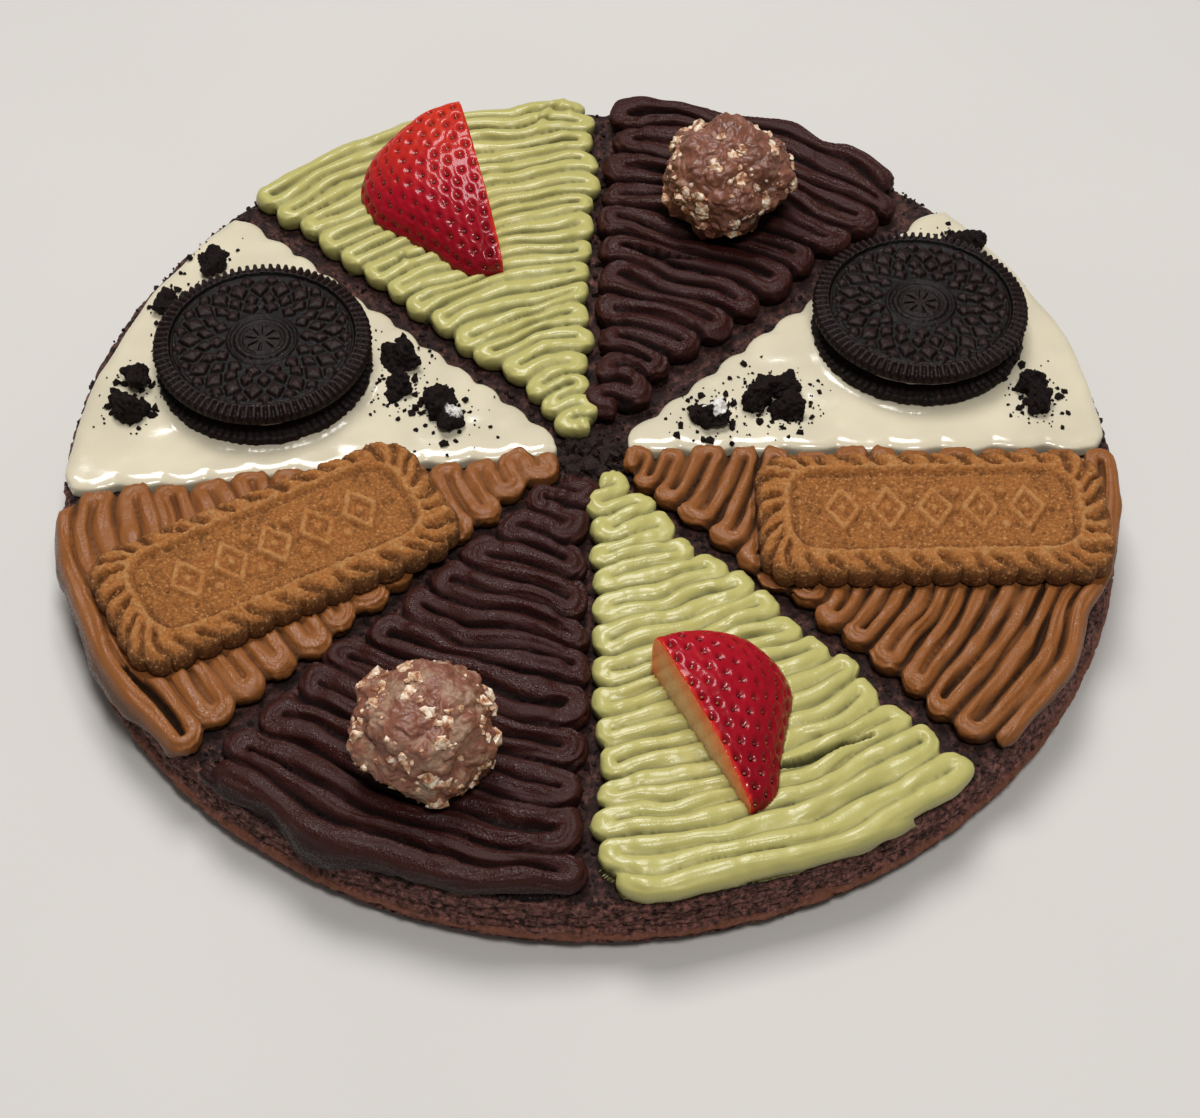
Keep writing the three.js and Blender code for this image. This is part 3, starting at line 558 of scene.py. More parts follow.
def baked_brownie(look):
    # Baked chocolate crumb: matt and open-pored, redder and lighter where a thin crust is worn. Its
    # side is painted several times lighter than its top, a painted light for light bounced up onto the
    # side, and its top a little darker, a painted shade in the gaps between the wedges
    made, tree, place = new_material("baked_chocolate_crumb")
    base = tuple(look.crumb)
    grain = add_node(tree, "ShaderNodeTexNoise", {
        "Vector": place, "Scale": scale_of(1.1), "Detail": 5, "Roughness": 0.7,
    })
    # Painted shade: the crumb on top, down in the gaps between the wedges, is mostly darker than the base
    # colour
    top = add_node(tree, "ShaderNodeValToRGB", {
        "Fac": grain, "stops": [(0.32, shade(base, 0.2)), (0.5, shade(base, 0.7)), (0.7, shade(base, 1.8))],
    })
    # Painted light: the crumb on the side is made several times lighter than on top, as if lit by light
    # bounced up onto it
    torn = add_node(tree, "ShaderNodeValToRGB", {
        "Fac": grain, "stops": [(0.37, shade(base, 0.5)), (0.5, shade(base, 5.2)), (0.65, shade(base, 13))],
    })
    height = add_node(tree, "ShaderNodeSeparateXYZ", {"Vector": place}).outputs["Z"]
    on_side = add_node(tree, "ShaderNodeMapRange", {
        "Value": height, "From Min": (BROWNIE_TOP - 0.2) * MM, "From Max": (BROWNIE_TOP - 1.2) * MM,
    })
    crumb_colour = add_node(tree, "ShaderNodeMix", {"data_type": "RGBA", 0: on_side, 6: top, 7: torn})
    above_crust = add_node(tree, "ShaderNodeMath", {"operation": "SUBTRACT", 0: height, 1: LIP_HEIGHT * MM})
    off_crust = add_node(tree, "ShaderNodeMath", {"operation": "ABSOLUTE", 0: above_crust})
    patches = add_node(tree, "ShaderNodeTexNoise", {
        "Vector": place, "Scale": scale_of(4), "Detail": 3, "Roughness": 0.55,
    })
    reach = add_node(tree, "ShaderNodeMapRange", {
        "Value": patches, "From Min": 0.35, "From Max": 0.65, "To Min": 0.4 * MM, "To Max": 1.7 * MM,
    })
    share = add_node(tree, "ShaderNodeMath", {"operation": "DIVIDE", 0: off_crust, 1: reach})
    crusted = add_node(tree, "ShaderNodeMapRange", {
        "Value": share, "From Min": 0.4, "From Max": 1.2, "To Min": 0.75, "To Max": 0,
    })
    colour = add_node(tree, "ShaderNodeMix", {
        "data_type": "RGBA", 0: crusted, 6: crumb_colour.outputs[2], 7: tuple(look.crust),
    })
    matt = add_node(tree, "ShaderNodeMapRange", {
        "Value": grain, "From Min": 0.35, "From Max": 0.7, "To Min": 0.85, "To Max": 0.42,
    })
    pores = add_node(tree, "ShaderNodeTexNoise", {
        "Vector": place, "Scale": scale_of(0.8), "Detail": 5, "Roughness": 0.75,
    })
    bump = add_node(tree, "ShaderNodeBump", {"Height": pores, "Distance": 0.9 * MM, "Strength": 0.9})
    return surfaced(made, {
        "Base Color": colour.outputs[2], "Roughness": matt, "Normal": bump, "Specular IOR Level": 0.35,
    })


def piped_cream(name, colour, dark, pale, gloss, specular, streaked):
    # Piped cream or ganache: a satin fat-based paste. Its colour holds painted shade low down and
    # in the creases, a near-black painted shadow in the slits and painted light on its crests; fine
    # lines from the nozzle run along each strand and break up its gloss.
    made, tree, place = new_material(name)
    height = add_node(tree, "ShaderNodeSeparateXYZ", {"Vector": place}).outputs["Z"]
    rise = add_node(tree, "ShaderNodeMapRange", {
        "Value": height, "From Min": (ICING_FLOOR + 1.4) * MM, "From Max": (ICING_FLOOR + 4.6) * MM,
    })
    patches = add_node(tree, "ShaderNodeTexNoise", {
        "Vector": place, "Scale": scale_of(9), "Detail": 2, "Roughness": 0.55,
    })
    # Painted shade and painted light: darker towards the cream's foot by dark and paler towards its crests by
    # pale
    body = add_node(tree, "ShaderNodeValToRGB", {
        "Fac": wavering(tree, rise, patches, 0.4),
        "stops": [(0, shade(colour, dark)), (0.55, colour), (1, shade(colour, pale))],
    })
    crease = add_node(tree, "ShaderNodeAttribute", {"attribute_name": "crease"}).outputs["Fac"]
    # Painted shade: the creases between strands are darkened
    crease_shade = add_node(tree, "ShaderNodeMapRange", {
        "Value": crease, "From Min": 0.05, "From Max": 0.55, "To Min": 0, "To Max": 0.95,
    })
    body = add_node(tree, "ShaderNodeMix", {
        "data_type": "RGBA", 0: crease_shade, 6: body, 7: shade(colour, dark * 0.4),
    })
    # Painted shadow: the slits, parted down to the floor, are filled in near-black
    slit_shadow = add_node(tree, "ShaderNodeMapRange", {"Value": crease, "From Min": 1.2, "From Max": 1.6})
    body = add_node(tree, "ShaderNodeMix", {
        "data_type": "RGBA", 0: slit_shadow, 6: body.outputs[2], 7: linear(0x150C09),
    })
    along = add_node(tree, "ShaderNodeAttribute", {"attribute_name": "strand"}).outputs["Vector"]
    lines = add_node(tree, "ShaderNodeTexNoise", {
        "Vector": along, "Scale": scale_of(1.3), "Detail": 4, "Roughness": 0.6,
    })
    speckle = add_node(tree, "ShaderNodeTexNoise", {
        "Vector": place, "Scale": scale_of(0.5), "Detail": 2, "Roughness": 0.6,
    })
    shine = add_node(tree, "ShaderNodeMath", {"operation": "MULTIPLY", 0: lines, 1: speckle})
    satin = add_node(tree, "ShaderNodeMapRange", {
        "Value": shine, "From Min": 0.24, "From Max": 0.31,
        "To Min": gloss + 0.5 * streaked, "To Max": gloss - streaked,
    })
    dull = add_node(tree, "ShaderNodeMapRange", {
        "Value": crease, "From Min": 0.05, "From Max": 0.4, "To Min": 0, "To Max": 0.6,
    })
    roughness = add_node(tree, "ShaderNodeMath", {"operation": "ADD", 0: satin, 1: dull})
    bump = add_node(tree, "ShaderNodeBump", {
        "Height": shine, "Distance": 0.6 * MM, "Strength": 0.05 + 2.6 * streaked,
    })
    return surfaced(made, {
        "Base Color": body.outputs[2], "Roughness": roughness, "Normal": bump, "Specular IOR Level": specular,
    })


def poured_glaze(look):
    # Poured white chocolate glaze: set wet and level, so it has a clear gloss and a soft edge glow
    made, tree, place = new_material("poured_white_glaze")
    base = tuple(look.glaze)
    patches = add_node(tree, "ShaderNodeTexNoise", {
        "Vector": place, "Scale": scale_of(16), "Detail": 2, "Roughness": 0.55,
    })
    colour = add_node(tree, "ShaderNodeValToRGB", {
        "Fac": patches, "stops": [(0.3, shade(base, 0.9)), (0.7, shade(base, 1.05))],
    })
    films = add_node(tree, "ShaderNodeTexNoise", {
        "Vector": place, "Scale": scale_of(5), "Detail": 3, "Roughness": 0.55,
    })
    gloss = add_node(tree, "ShaderNodeMapRange", {
        "Value": films, "From Min": 0.3, "From Max": 0.7, "To Min": 0.12, "To Max": 0.2,
    })
    dips = add_node(tree, "ShaderNodeTexNoise", {
        "Vector": place, "Scale": scale_of(3), "Detail": 2, "Roughness": 0.55,
    })
    bump = add_node(tree, "ShaderNodeBump", {"Height": dips, "Distance": 0.12 * MM, "Strength": 0.5})
    return surfaced(made, {
        "Base Color": colour, "Roughness": gloss, "Normal": bump, "Specular IOR Level": 0.5,
        "Subsurface Weight": 0.2, "Subsurface Radius": (1, 0.8, 0.5), "Subsurface Scale": 0.002,
        "Coat Weight": 0.2, "Coat Roughness": 0.05,
    })


def cocoa_wafer(look):
    # Black cocoa wafer: dense and dry, with pale specks. Its grooves are painted darker, a painted
    # shade, and its crests lighter, a painted highlight
    made, tree, place = new_material("baked_cocoa_wafer")
    base = tuple(look.cocoa)
    grain = add_node(tree, "ShaderNodeTexNoise", {
        "Vector": place, "Scale": scale_of(0.8), "Detail": 5, "Roughness": 0.7,
    })
    colour = add_node(tree, "ShaderNodeValToRGB", {
        "Fac": grain, "stops": [(0.3, shade(base, 0.55)), (0.55, base), (0.8, shade(base, 1.9))],
    })
    relief = add_node(tree, "ShaderNodeAttribute", {"attribute_name": "relief"}).outputs["Fac"]
    # Painted shade: the low parts of the pressed face and the flutes' grooves are darkened
    groove = add_node(tree, "ShaderNodeMapRange", {"Value": relief, "From Min": 0.5, "From Max": 0.05})
    colour = add_node(tree, "ShaderNodeMix", {"data_type": "RGBA", 0: groove, 6: colour, 7: shade(base, 0.2)})
    # Painted highlight: the highest parts of the relief are lightened
    crest_highlight = add_node(tree, "ShaderNodeMapRange", {
        "Value": relief, "From Min": 0.6, "From Max": 1.1, "To Min": 0, "To Max": 0.7,
    })
    colour = add_node(tree, "ShaderNodeMix", {
        "data_type": "RGBA", 0: crest_highlight, 6: colour.outputs[2], 7: shade(base, 1.8),
    })
    dust = add_node(tree, "ShaderNodeTexNoise", {
        "Vector": place, "Scale": scale_of(0.55), "Detail": 2, "Roughness": 0.55,
    })
    specks = add_node(tree, "ShaderNodeMapRange", {"Value": dust, "From Min": 0.72, "From Max": 0.77})
    colour = add_node(tree, "ShaderNodeMix", {
        "data_type": "RGBA", 0: specks, 6: colour.outputs[2], 7: linear(0x8A6A66),
    })
    satin = add_node(tree, "ShaderNodeMapRange", {
        "Value": grain, "From Min": 0.35, "From Max": 0.7, "To Min": 0.5, "To Max": 0.32,
    })
    pits = add_node(tree, "ShaderNodeTexNoise", {
        "Vector": place, "Scale": scale_of(0.5), "Detail": 3, "Roughness": 0.7,
    })
    bump = add_node(tree, "ShaderNodeBump", {"Height": pits, "Distance": 0.25 * MM, "Strength": 0.8})
    return surfaced(made, {
        "Base Color": colour.outputs[2], "Roughness": satin, "Normal": bump, "Specular IOR Level": 0.2,
    })


def broken_wafer(look):
    # Broken cocoa cookie: open crumb, smeared with white filling where the attribute says so
    made, tree, place = new_material("broken_cocoa_cookie")
    base = tuple(look.cocoa)
    grain = add_node(tree, "ShaderNodeTexNoise", {
        "Vector": place, "Scale": scale_of(0.9), "Detail": 5, "Roughness": 0.75,
    })
    colour = add_node(tree, "ShaderNodeValToRGB", {
        "Fac": grain, "stops": [(0.3, shade(base, 0.3)), (0.55, shade(base, 0.8)), (0.85, shade(base, 2.2))],
    })
    smear = add_node(tree, "ShaderNodeAttribute", {"attribute_name": "filling"}).outputs["Fac"]
    covered = add_node(tree, "ShaderNodeMapRange", {
        "Value": wavering(tree, smear, grain, 0.7), "From Min": 0.45, "From Max": 0.6,
    })
    colour = add_node(tree, "ShaderNodeMix", {
        "data_type": "RGBA", 0: covered, 6: colour, 7: tuple(look.filling),
    })
    matt = add_node(tree, "ShaderNodeMapRange", {
        "Value": grain, "From Min": 0.35, "From Max": 0.7, "To Min": 0.85, "To Max": 0.55,
    })
    pores = add_node(tree, "ShaderNodeTexNoise", {
        "Vector": place, "Scale": scale_of(0.5), "Detail": 4, "Roughness": 0.75,
    })
    bump = add_node(tree, "ShaderNodeBump", {"Height": pores, "Distance": 0.5 * MM, "Strength": 0.8})
    return surfaced(made, {
        "Base Color": colour.outputs[2], "Roughness": matt, "Normal": bump, "Specular IOR Level": 0.18,
    })


def cookie_filling(look):
    # Cookie filling: stiff sugar fat, matt and opaque
    made, tree, place = new_material("white_cookie_filling")
    base = tuple(look.filling)
    patches = add_node(tree, "ShaderNodeTexNoise", {
        "Vector": place, "Scale": scale_of(2), "Detail": 3, "Roughness": 0.55,
    })
    colour = add_node(tree, "ShaderNodeValToRGB", {
        "Fac": patches, "stops": [(0.3, shade(base, 0.8)), (0.7, base)],
    })
    sugar = add_node(tree, "ShaderNodeTexNoise", {
        "Vector": place, "Scale": scale_of(0.6), "Detail": 3, "Roughness": 0.55,
    })
    bump = add_node(tree, "ShaderNodeBump", {"Height": sugar, "Distance": 0.2 * MM, "Strength": 0.5})
    return surfaced(made, {"Base Color": colour, "Roughness": 0.7, "Normal": bump})


def baked_biscuit(look):
    # Caramelised biscuit: dry and sandy, darker the lower its surface lies and paler and golden the
    # higher it lies. Its sugar grains are drawn at about twice their real size, so that they show.
    made, tree, place = new_material("baked_caramel_biscuit")
    base = tuple(look.biscuit)
    relief = add_node(tree, "ShaderNodeAttribute", {"attribute_name": "relief"}).outputs["Fac"]
    grain = add_node(tree, "ShaderNodeTexNoise", {
        "Vector": place, "Scale": scale_of(0.7), "Detail": 6, "Roughness": 0.8,
    })
    colour = add_node(tree, "ShaderNodeValToRGB", {
        "Fac": wavering(tree, relief, grain, 2.5),
        "stops": [(0, shade(base, 0.4)), (0.42, base), (0.75, shade(base, 1.25)), (1, linear(0xD89C5E))],
    })
    sugar = add_node(tree, "ShaderNodeTexNoise", {
        "Vector": place, "Scale": scale_of(0.7), "Detail": 3, "Roughness": 0.7,
    })
    grains = add_node(tree, "ShaderNodeMapRange", {"Value": sugar, "From Min": 0.6, "From Max": 0.66})
    colour = add_node(tree, "ShaderNodeMix", {"data_type": "RGBA", 0: grains, 6: colour, 7: linear(0xE0AC70)})
    matt = add_node(tree, "ShaderNodeMapRange", {
        "Value": grain, "From Min": 0.35, "From Max": 0.75, "To Min": 0.85, "To Max": 0.5,
    })
    sand = add_node(tree, "ShaderNodeTexNoise", {
        "Vector": place, "Scale": scale_of(0.5), "Detail": 5, "Roughness": 0.75,
    })
    bump = add_node(tree, "ShaderNodeBump", {"Height": sand, "Distance": 1 * MM, "Strength": 1})
    return surfaced(made, {
        "Base Color": colour.outputs[2], "Roughness": matt, "Normal": bump, "Specular IOR Level": 0.3,
    })


def strawberry_skin(look):
    # Ripe strawberry: wet thin skin over translucent flesh, darker towards its tip and paler at its
    # shoulder. Its pits are painted darker, a painted shade, and so is the skin low on the berry
    made, tree, place = new_material("wet_strawberry_skin")
    ripe = tuple(look.berry)
    along = add_node(tree, "ShaderNodeAttribute", {"attribute_name": "ripeness_and_shade"}).outputs["Fac"]
    pits = add_node(tree, "ShaderNodeAttribute", {"attribute_name": "pit"}).outputs["Fac"]
    mottle = add_node(tree, "ShaderNodeTexNoise", {
        "Vector": place, "Scale": scale_of(5), "Detail": 3, "Roughness": 0.55,
    })
    # Darker towards the tip and paler at the shoulder; the darkening low on the berry, from the same
    # attribute, is painted shade
    colour = add_node(tree, "ShaderNodeValToRGB", {
        "Fac": wavering(tree, along, mottle, 0.5),
        "stops": [(0, shade(ripe, 0.62)), (0.4, ripe), (1, tuple(look.shoulder))],
    })
    # Painted shade: the skin is darkened in its pits
    colour = add_node(tree, "ShaderNodeMix", {"data_type": "RGBA", 0: pits, 6: colour, 7: shade(ripe, 0.22)})
    gloss = add_node(tree, "ShaderNodeMapRange", {
        "Value": mottle, "From Min": 0.3, "From Max": 0.7, "To Min": 0.26, "To Max": 0.4,
    })
    dimples = add_node(tree, "ShaderNodeTexNoise", {
        "Vector": place, "Scale": scale_of(0.8), "Detail": 2, "Roughness": 0.55,
    })
    bump = add_node(tree, "ShaderNodeBump", {"Height": dimples, "Distance": 0.1 * MM, "Strength": 0.35})
    return surfaced(made, {
        "Base Color": colour.outputs[2], "Roughness": gloss, "Normal": bump, "Specular IOR Level": 0.1,
        "Coat Weight": 0.3, "Coat Roughness": 0.1,
    })


def strawberry_flesh(look):
    # Cut strawberry: pale wet flesh that turns orange-red towards the skin
    made, tree, place = new_material("cut_strawberry_flesh")
    depth = add_node(tree, "ShaderNodeAttribute", {"attribute_name": "depth"}).outputs["Fac"]
    fibres = add_node(tree, "ShaderNodeTexNoise", {
        "Vector": place, "Scale": scale_of(1.2), "Detail": 3, "Roughness": 0.55,
    })
    under_skin = [(0, linear(0xD8452A)), (0.15, linear(0xF07848))]
    colour = add_node(tree, "ShaderNodeValToRGB", {
        "Fac": wavering(tree, depth, fibres, 0.3),
        "stops": [*under_skin, (0.4, tuple(look.flesh)), (0.75, linear(0xFFC29A))],
    })
    bump = add_node(tree, "ShaderNodeBump", {"Height": fibres, "Distance": 0.1 * MM, "Strength": 0.4})
    return surfaced(made, {
        "Base Color": colour, "Roughness": 0.3, "Normal": bump, "Specular IOR Level": 0.5,
        "Subsurface Weight": 0.8, "Subsurface Radius": (1, 0.6, 0.35), "Subsurface Scale": 0.006,
        "Coat Weight": 0.3, "Coat Roughness": 0.1,
    })


def strawberry_seed():
    # Strawberry seeds: hard and shiny, here sunk in pits that are painted dark as painted shade
    made, tree, place = new_material("strawberry_seed")
    patches = add_node(tree, "ShaderNodeTexNoise", {
        "Vector": place, "Scale": scale_of(3), "Detail": 3, "Roughness": 0.55,
    })
    colour = add_node(tree, "ShaderNodeValToRGB", {
        "Fac": patches, "stops": [(0.4, linear(0x4A120C)), (0.6, linear(0x8A4526))],
    })
    return surfaced(made, {"Base Color": colour, "Roughness": 0.3})


def milk_chocolate(name, look, bloom):
    # Milk chocolate coating: satin where fresh, and greyer and duller as its dusty bloom grows
    made, tree, place = new_material(name)
    base = tuple(look.chocolate)
    patches = add_node(tree, "ShaderNodeTexNoise", {
        "Vector": place, "Scale": scale_of(4), "Detail": 4, "Roughness": 0.6,
    })
    level = add_node(tree, "ShaderNodeMapRange", {
        "Value": patches, "From Min": 0.3, "From Max": 0.7, "To Min": bloom - 0.5, "To Max": bloom + 0.5,
    })
    colour = add_node(tree, "ShaderNodeValToRGB", {
        "Fac": level,
        "stops": [(0, shade(base, 0.7)), (0.35, base), (0.7, linear(0x93735C)), (1, linear(0xB59C86))],
    })
    dull = add_node(tree, "ShaderNodeMapRange", {"Value": level, "To Min": 0.26, "To Max": 0.6})
    waves = add_node(tree, "ShaderNodeTexNoise", {
        "Vector": place, "Scale": scale_of(1.1), "Detail": 4, "Roughness": 0.65,
    })
    bump = add_node(tree, "ShaderNodeBump", {"Height": waves, "Distance": 0.3 * MM, "Strength": 0.6})
    return surfaced(made, {
        "Base Color": colour, "Roughness": dull, "Normal": bump, "Specular IOR Level": 0.4,
    })


def chopped_hazelnut(look):
    # Chopped roasted hazelnut: pale cut faces and brown skin
    made, tree, place = new_material("chopped_roasted_hazelnut")
    patches = add_node(tree, "ShaderNodeTexNoise", {
        "Vector": place, "Scale": scale_of(1.6), "Detail": 3, "Roughness": 0.6,
    })
    colour = add_node(tree, "ShaderNodeValToRGB", {
        "Fac": patches, "stops": [(0.38, linear(0x8A4F2C)), (0.5, tuple(look.nut)), (0.62, linear(0xEADBC6))],
    })
    grain = add_node(tree, "ShaderNodeTexNoise", {
        "Vector": place, "Scale": scale_of(0.4), "Detail": 3, "Roughness": 0.55,
    })
    bump = add_node(tree, "ShaderNodeBump", {"Height": grain, "Distance": 0.2 * MM, "Strength": 0.6})
    return surfaced(made, {"Base Color": colour, "Roughness": 0.6, "Normal": bump})


def plain_floor(look):
    # A pale painted surface, matt
    made, tree, place = new_material("pale_matt_surface")
    base = tuple(look.floor)
    patches = add_node(tree, "ShaderNodeTexNoise", {
        "Vector": place, "Scale": scale_of(120), "Detail": 2, "Roughness": 0.55,
    })
    colour = add_node(tree, "ShaderNodeValToRGB", {
        "Fac": patches, "stops": [(0.3, shade(base, 0.97)), (0.7, base)],
    })
    return surfaced(made, {"Base Color": colour, "Roughness": 0.85, "Specular IOR Level": 0.2})


# The brownie

def side_roughness(point, height):
    """How far the torn side stands back from its profile, in mm."""
    layered = Vector((point.x / 5, point.y / 5, height / 0.75))
    torn = rough(layered, 1, 4)
    pores = ramp(cell_distance(Vector((point.x, point.y, height * 1.6)), 1.7), 0.42, 0.12)
    amount = ramp(height, 0.2, 1.6) * (1 - 0.6 * ramp(abs(height - LIP_HEIGHT), 1, 0.2))
    return amount * (0.35 + 1.2 * max(-0.35, torn) + 1.1 * pores)


def brownie_body(look):
    """The cake: torn level layers round its side, and a crumbly top that shows between the wedges."""
    rings = [103.8, 103, 102, 101, 100, 98.5]
    rings += [96.5 - 1.9 * i for i in range(47)] + [7.5 - i for i in range(8)] + [0]
    under = [(0, 0), (60, 0), (95, 0)]
    profile = under + spaced(SIDE_PROFILE, 0.5) + [(radius, BROWNIE_TOP) for radius in rings]
    bm = lathe(880, profile)
    for v in bm.verts:
        if v.co.z < 0.05:
            continue
        flat = Vector((v.co.x, v.co.y, 0))
        radius = flat.length
        if radius > 103.9:
            v.co -= flat.normalized() * side_roughness(v.co, v.co.z)
        on_top = ramp(v.co.z, 13, 14)
        if on_top and radius > 0.5:
            heaped = ramp(radius, 11, 3)
            pores = ramp(cell_distance(v.co, 2.2), 0.4, 0.1)
            lift = rough(v.co, 1.8, 4) * (0.55 + 0.5 * heaped) - 0.35 - 0.5 * pores
            v.co.z += on_top * min(0.35, lift)
    return finished("brownie_body", bm, [baked_brownie(look)], ["brownie"])


def loose_crumbs(look):
    """Crumbs in the gaps between wedges, heaped at the centre and along the rim."""
    chance = random.Random(3)
    bm = bmesh.new()
    size = look.crumb_size / MM
    spots = []
    for angle in sorted(wedge["angles"][0] for wedge in PIPED + POURED):
        along = Vector((math.cos(math.radians(angle)), math.sin(math.radians(angle)), 0))
        aside = Vector((-along.y, along.x, 0))
        for _ in range(130):
            spots.append(along * chance.uniform(8, 104) + aside * chance.gauss(0, 1.7))
    for _ in range(330):
        turn, r = chance.uniform(0, TURN), 9.5 * math.sqrt(chance.random())
        spots.append(Vector((r * math.cos(turn) + 0.5, r * math.sin(turn) - 1.5, 0)))
    for _ in range(620):
        turn, r = chance.uniform(0, TURN), chance.uniform(102.5, 105)
        spots.append(Vector((r * math.cos(turn), r * math.sin(turn), 0)))
    for spot in spots:
        middle = ramp(spot.length, 11, 2)
        radius = size * (0.3 + 1.2 * chance.random() ** 2) * (1 + 1.5 * middle)
        rise = middle * chance.uniform(0, 1.5)
        crumb(bm, (spot.x, spot.y, BROWNIE_TOP - 0.25 + rise + 0.15 * radius), radius, chance, 0.5)
    return finished("brownie_crumbs", bm, [baked_brownie(look)], ["brownie"], faceted=True)


# The icing

def wedge_edges(angles, gaps):
    """A wedge's two straight edges: the way along each, the way in from it, and its gap."""
    edges = []
    for degrees, gap, way in zip(angles, gaps, (1, -1)):
        turn = math.radians(degrees)
        along = Vector((math.cos(turn), math.sin(turn), 0))
        edges.append((along, Vector((-along.y, along.x, 0)) * way, gap))
    return edges


def edge_point(edge, distance, inset):
    """A point beside a wedge's edge, at a distance from the cake's middle and so far inside the gap."""
    along, inward, gap = edge
    return along * distance + inward * (gap + inset)


def pitch_of(wedge):
    """The distance from one row of a piped wedge to the next."""
    inner, outer = wedge["reach"]
    return (outer - inner) / (2 * wedge["loops"])


def line_sag(wedge, distance, strand):
    """How far a strand bows outwards in its middle."""
    (low, high), (inner, outer) = wedge["angles"], wedge["reach"]
    share = (distance - inner) / (outer - inner)
    on_rim = strand >= 2 * wedge["loops"] - wedge["rim_strands"]
    bulge = wedge["bulge"][1] if on_rim else between(*wedge["bulge"], share * share)
    return bulge * distance * (1 - math.cos(math.radians(high - low) / 2))


def nozzle_path(wedge):
    """The nozzle's way in a piped wedge, to and fro from edge to edge, as points and half widths."""
    edges = wedge_edges(wedge["angles"], wedge["gaps"])
    strands, pitch = 2 * wedge["loops"], pitch_of(wedge)
    bead = BEAD * pitch
    outwards = (edges[0][0] + edges[1][0]).normalized()
    path = []
    for strand in range(strands):
        distance = wedge["reach"][0] + (strand + 0.5) * pitch
        start, finish = (edge_point(edge, distance, 0) for edge in edges)
        middle, way = (start + finish) / 2, (finish - start).normalized()
        row = max(wedge["narrowest"], (finish - start).length)
        start, finish = middle - way * row / 2, middle + way * row / 2
        insets = []
        for side in (0, 1):
            loop = (strand + 1 + side) // 2
            reach = bead + 0.5 * pitch + 0.3 + 0.9 * wave(loop * 1.37 + 0.5, wedge["seed"] + side)
            insets.append(min(reach, 0.28 * row))
        sag = line_sag(wedge, distance, strand)
        steps = max(3, round(row / ROW_STEP))
        low, high = insets[0] / row, 1 - insets[1] / row
        line = []
        for i in range(steps + 1):
            t = between(low, high, i / steps)
            stray = 0.45 * wave(t * row / 7 + strand * 3.3, wedge["seed"]) * min(1, 4 * t, 4 - 4 * t)
            full = ramp(min(i, steps - i) * ROW_STEP, 0, 4.5)
            width = pitch * between(*wedge["fullness"], full)
            line.append((start.lerp(finish, t) + outwards * (4 * sag * t * (1 - t) + stray), width))
        path.append(line if strand % 2 == 0 else line[::-1])
    points = []
    for strand, line in enumerate(path):
        points += line
        if strand + 1 < strands:
            points += loop_round(line[-1][0], path[strand + 1][0][0], -edges[1 - strand % 2][1], bead)
    return points


def loop_round(leave, enter, way, half):
    """The turn from one strand's end to the next one's start, swollen where the cream piles up."""
    centre = (leave + enter) / 2
    arm = leave - centre
    points = []
    for i in range(1, 6):
        turn = math.pi * i / 6
        swell = 1 + 0.1 * math.sin(turn)
        points.append((centre + arm * math.cos(turn) + way * (arm.length * math.sin(turn)), half * swell))
    return points


def footprints():
    """Where each topping presses into the icing: a test for the level that it leaves at a point."""
    tests = []
    for item in PRALINES:
        x, y, z = item["at"]
        tests.append(lambda p, x=x, y=y, z=z, r=item["radius"] - 0.2: ball_level(p, x, y, z, r))
    for item in BISCUITS:
        x, y, z = item["at"]
        turn = Matrix.Rotation(-math.radians(item["turn"]), 3, "Z")
        tests.append(lambda p, c=Vector((x, y, 0)), m=turn: biscuit_level(m @ (p - c)))
    for item in BERRIES:
        turn = Matrix.Rotation(-math.radians(item["heading"]), 3, "Z")
        tests.append(lambda p, i=item, m=turn: berry_level(m @ (p - Vector(i["tip"])), i))
    return tests


def ball_level(p, x, y, z, radius):
    """The level that a ball leaves the icing at, or infinity beside it."""
    off = math.hypot(p.x - x, p.y - y)
    return z - math.sqrt(radius**2 - off**2) - 0.1 if off < radius else math.inf


def biscuit_level(p):
    """The level that a biscuit leaves the icing at, for a point in the biscuit's own frame."""
    return PRESSED_LEVEL if inside_rounded(p.x, p.y, *BISCUIT_PRINT) > 0 else math.inf


def berry_level(p, berry):
    """The level that a strawberry leaves the icing at, for a point in its own frame."""
    length = berry["length"]
    share = p.x / length
    if not 0 < share < 1 or p.y * berry["side"] < 0:
        return math.inf
    for (a, wide_a, _), (b, wide_b, _) in zip(BERRY_OUTLINE, BERRY_OUTLINE[1:]):
        if a <= share < b:
            wide = between(wide_a, wide_b, (share - a) / (b - a))
            return PRESSED_LEVEL if abs(p.y) < wide * length - 0.2 else math.inf
    return math.inf


def off_strand(path, i, flat):
    """How a place lies from a strand near its point i: how far along from there, and the offset."""
    way = (path[min(len(path) - 1, i + 1)][0] - path[max(0, i - 1)][0]).normalized()
    off = flat - path[i][0]
    along = max(-0.7, min(0.7, off.dot(way)))
    return along, off - way * along, way


def strand_at(tree, path, run, point):
    """Where a point lies on the piped strands: how far along, its offset from the strand, how far
    aside, and how much nearer it is to its own strand than to the next one."""
    flat = Vector((point.x, point.y, 0))
    found = tree.find_n(flat, 14)
    i = found[0][1]
    along, off, way = off_strand(path, i, flat)
    aside = off.dot(Vector((-way.y, way.x, 0)))
    others = [off_strand(path, k, flat)[1].length for _, k, _ in found if abs(k - i) > 6]
    return run[i] + along, off, aside, (min(others) - off.length if others else 9)


def end_taper(i, count):
    """The share of its width that a strand has near its rounded free ends."""
    near = min(1, (min(i, count - 1 - i) + 0.15) / 2.6)
    return math.sqrt(near * (2 - near))


def evened(bm, layer):
    """Brings each vertex's value half-way to the mean of its neighbours."""
    means = [sum(e.other_vert(v)[layer] for e in v.link_edges) / len(v.link_edges) for v in bm.verts]
    for v, mean in zip(bm.verts, means):
        v[layer] = (v[layer] + mean) / 2


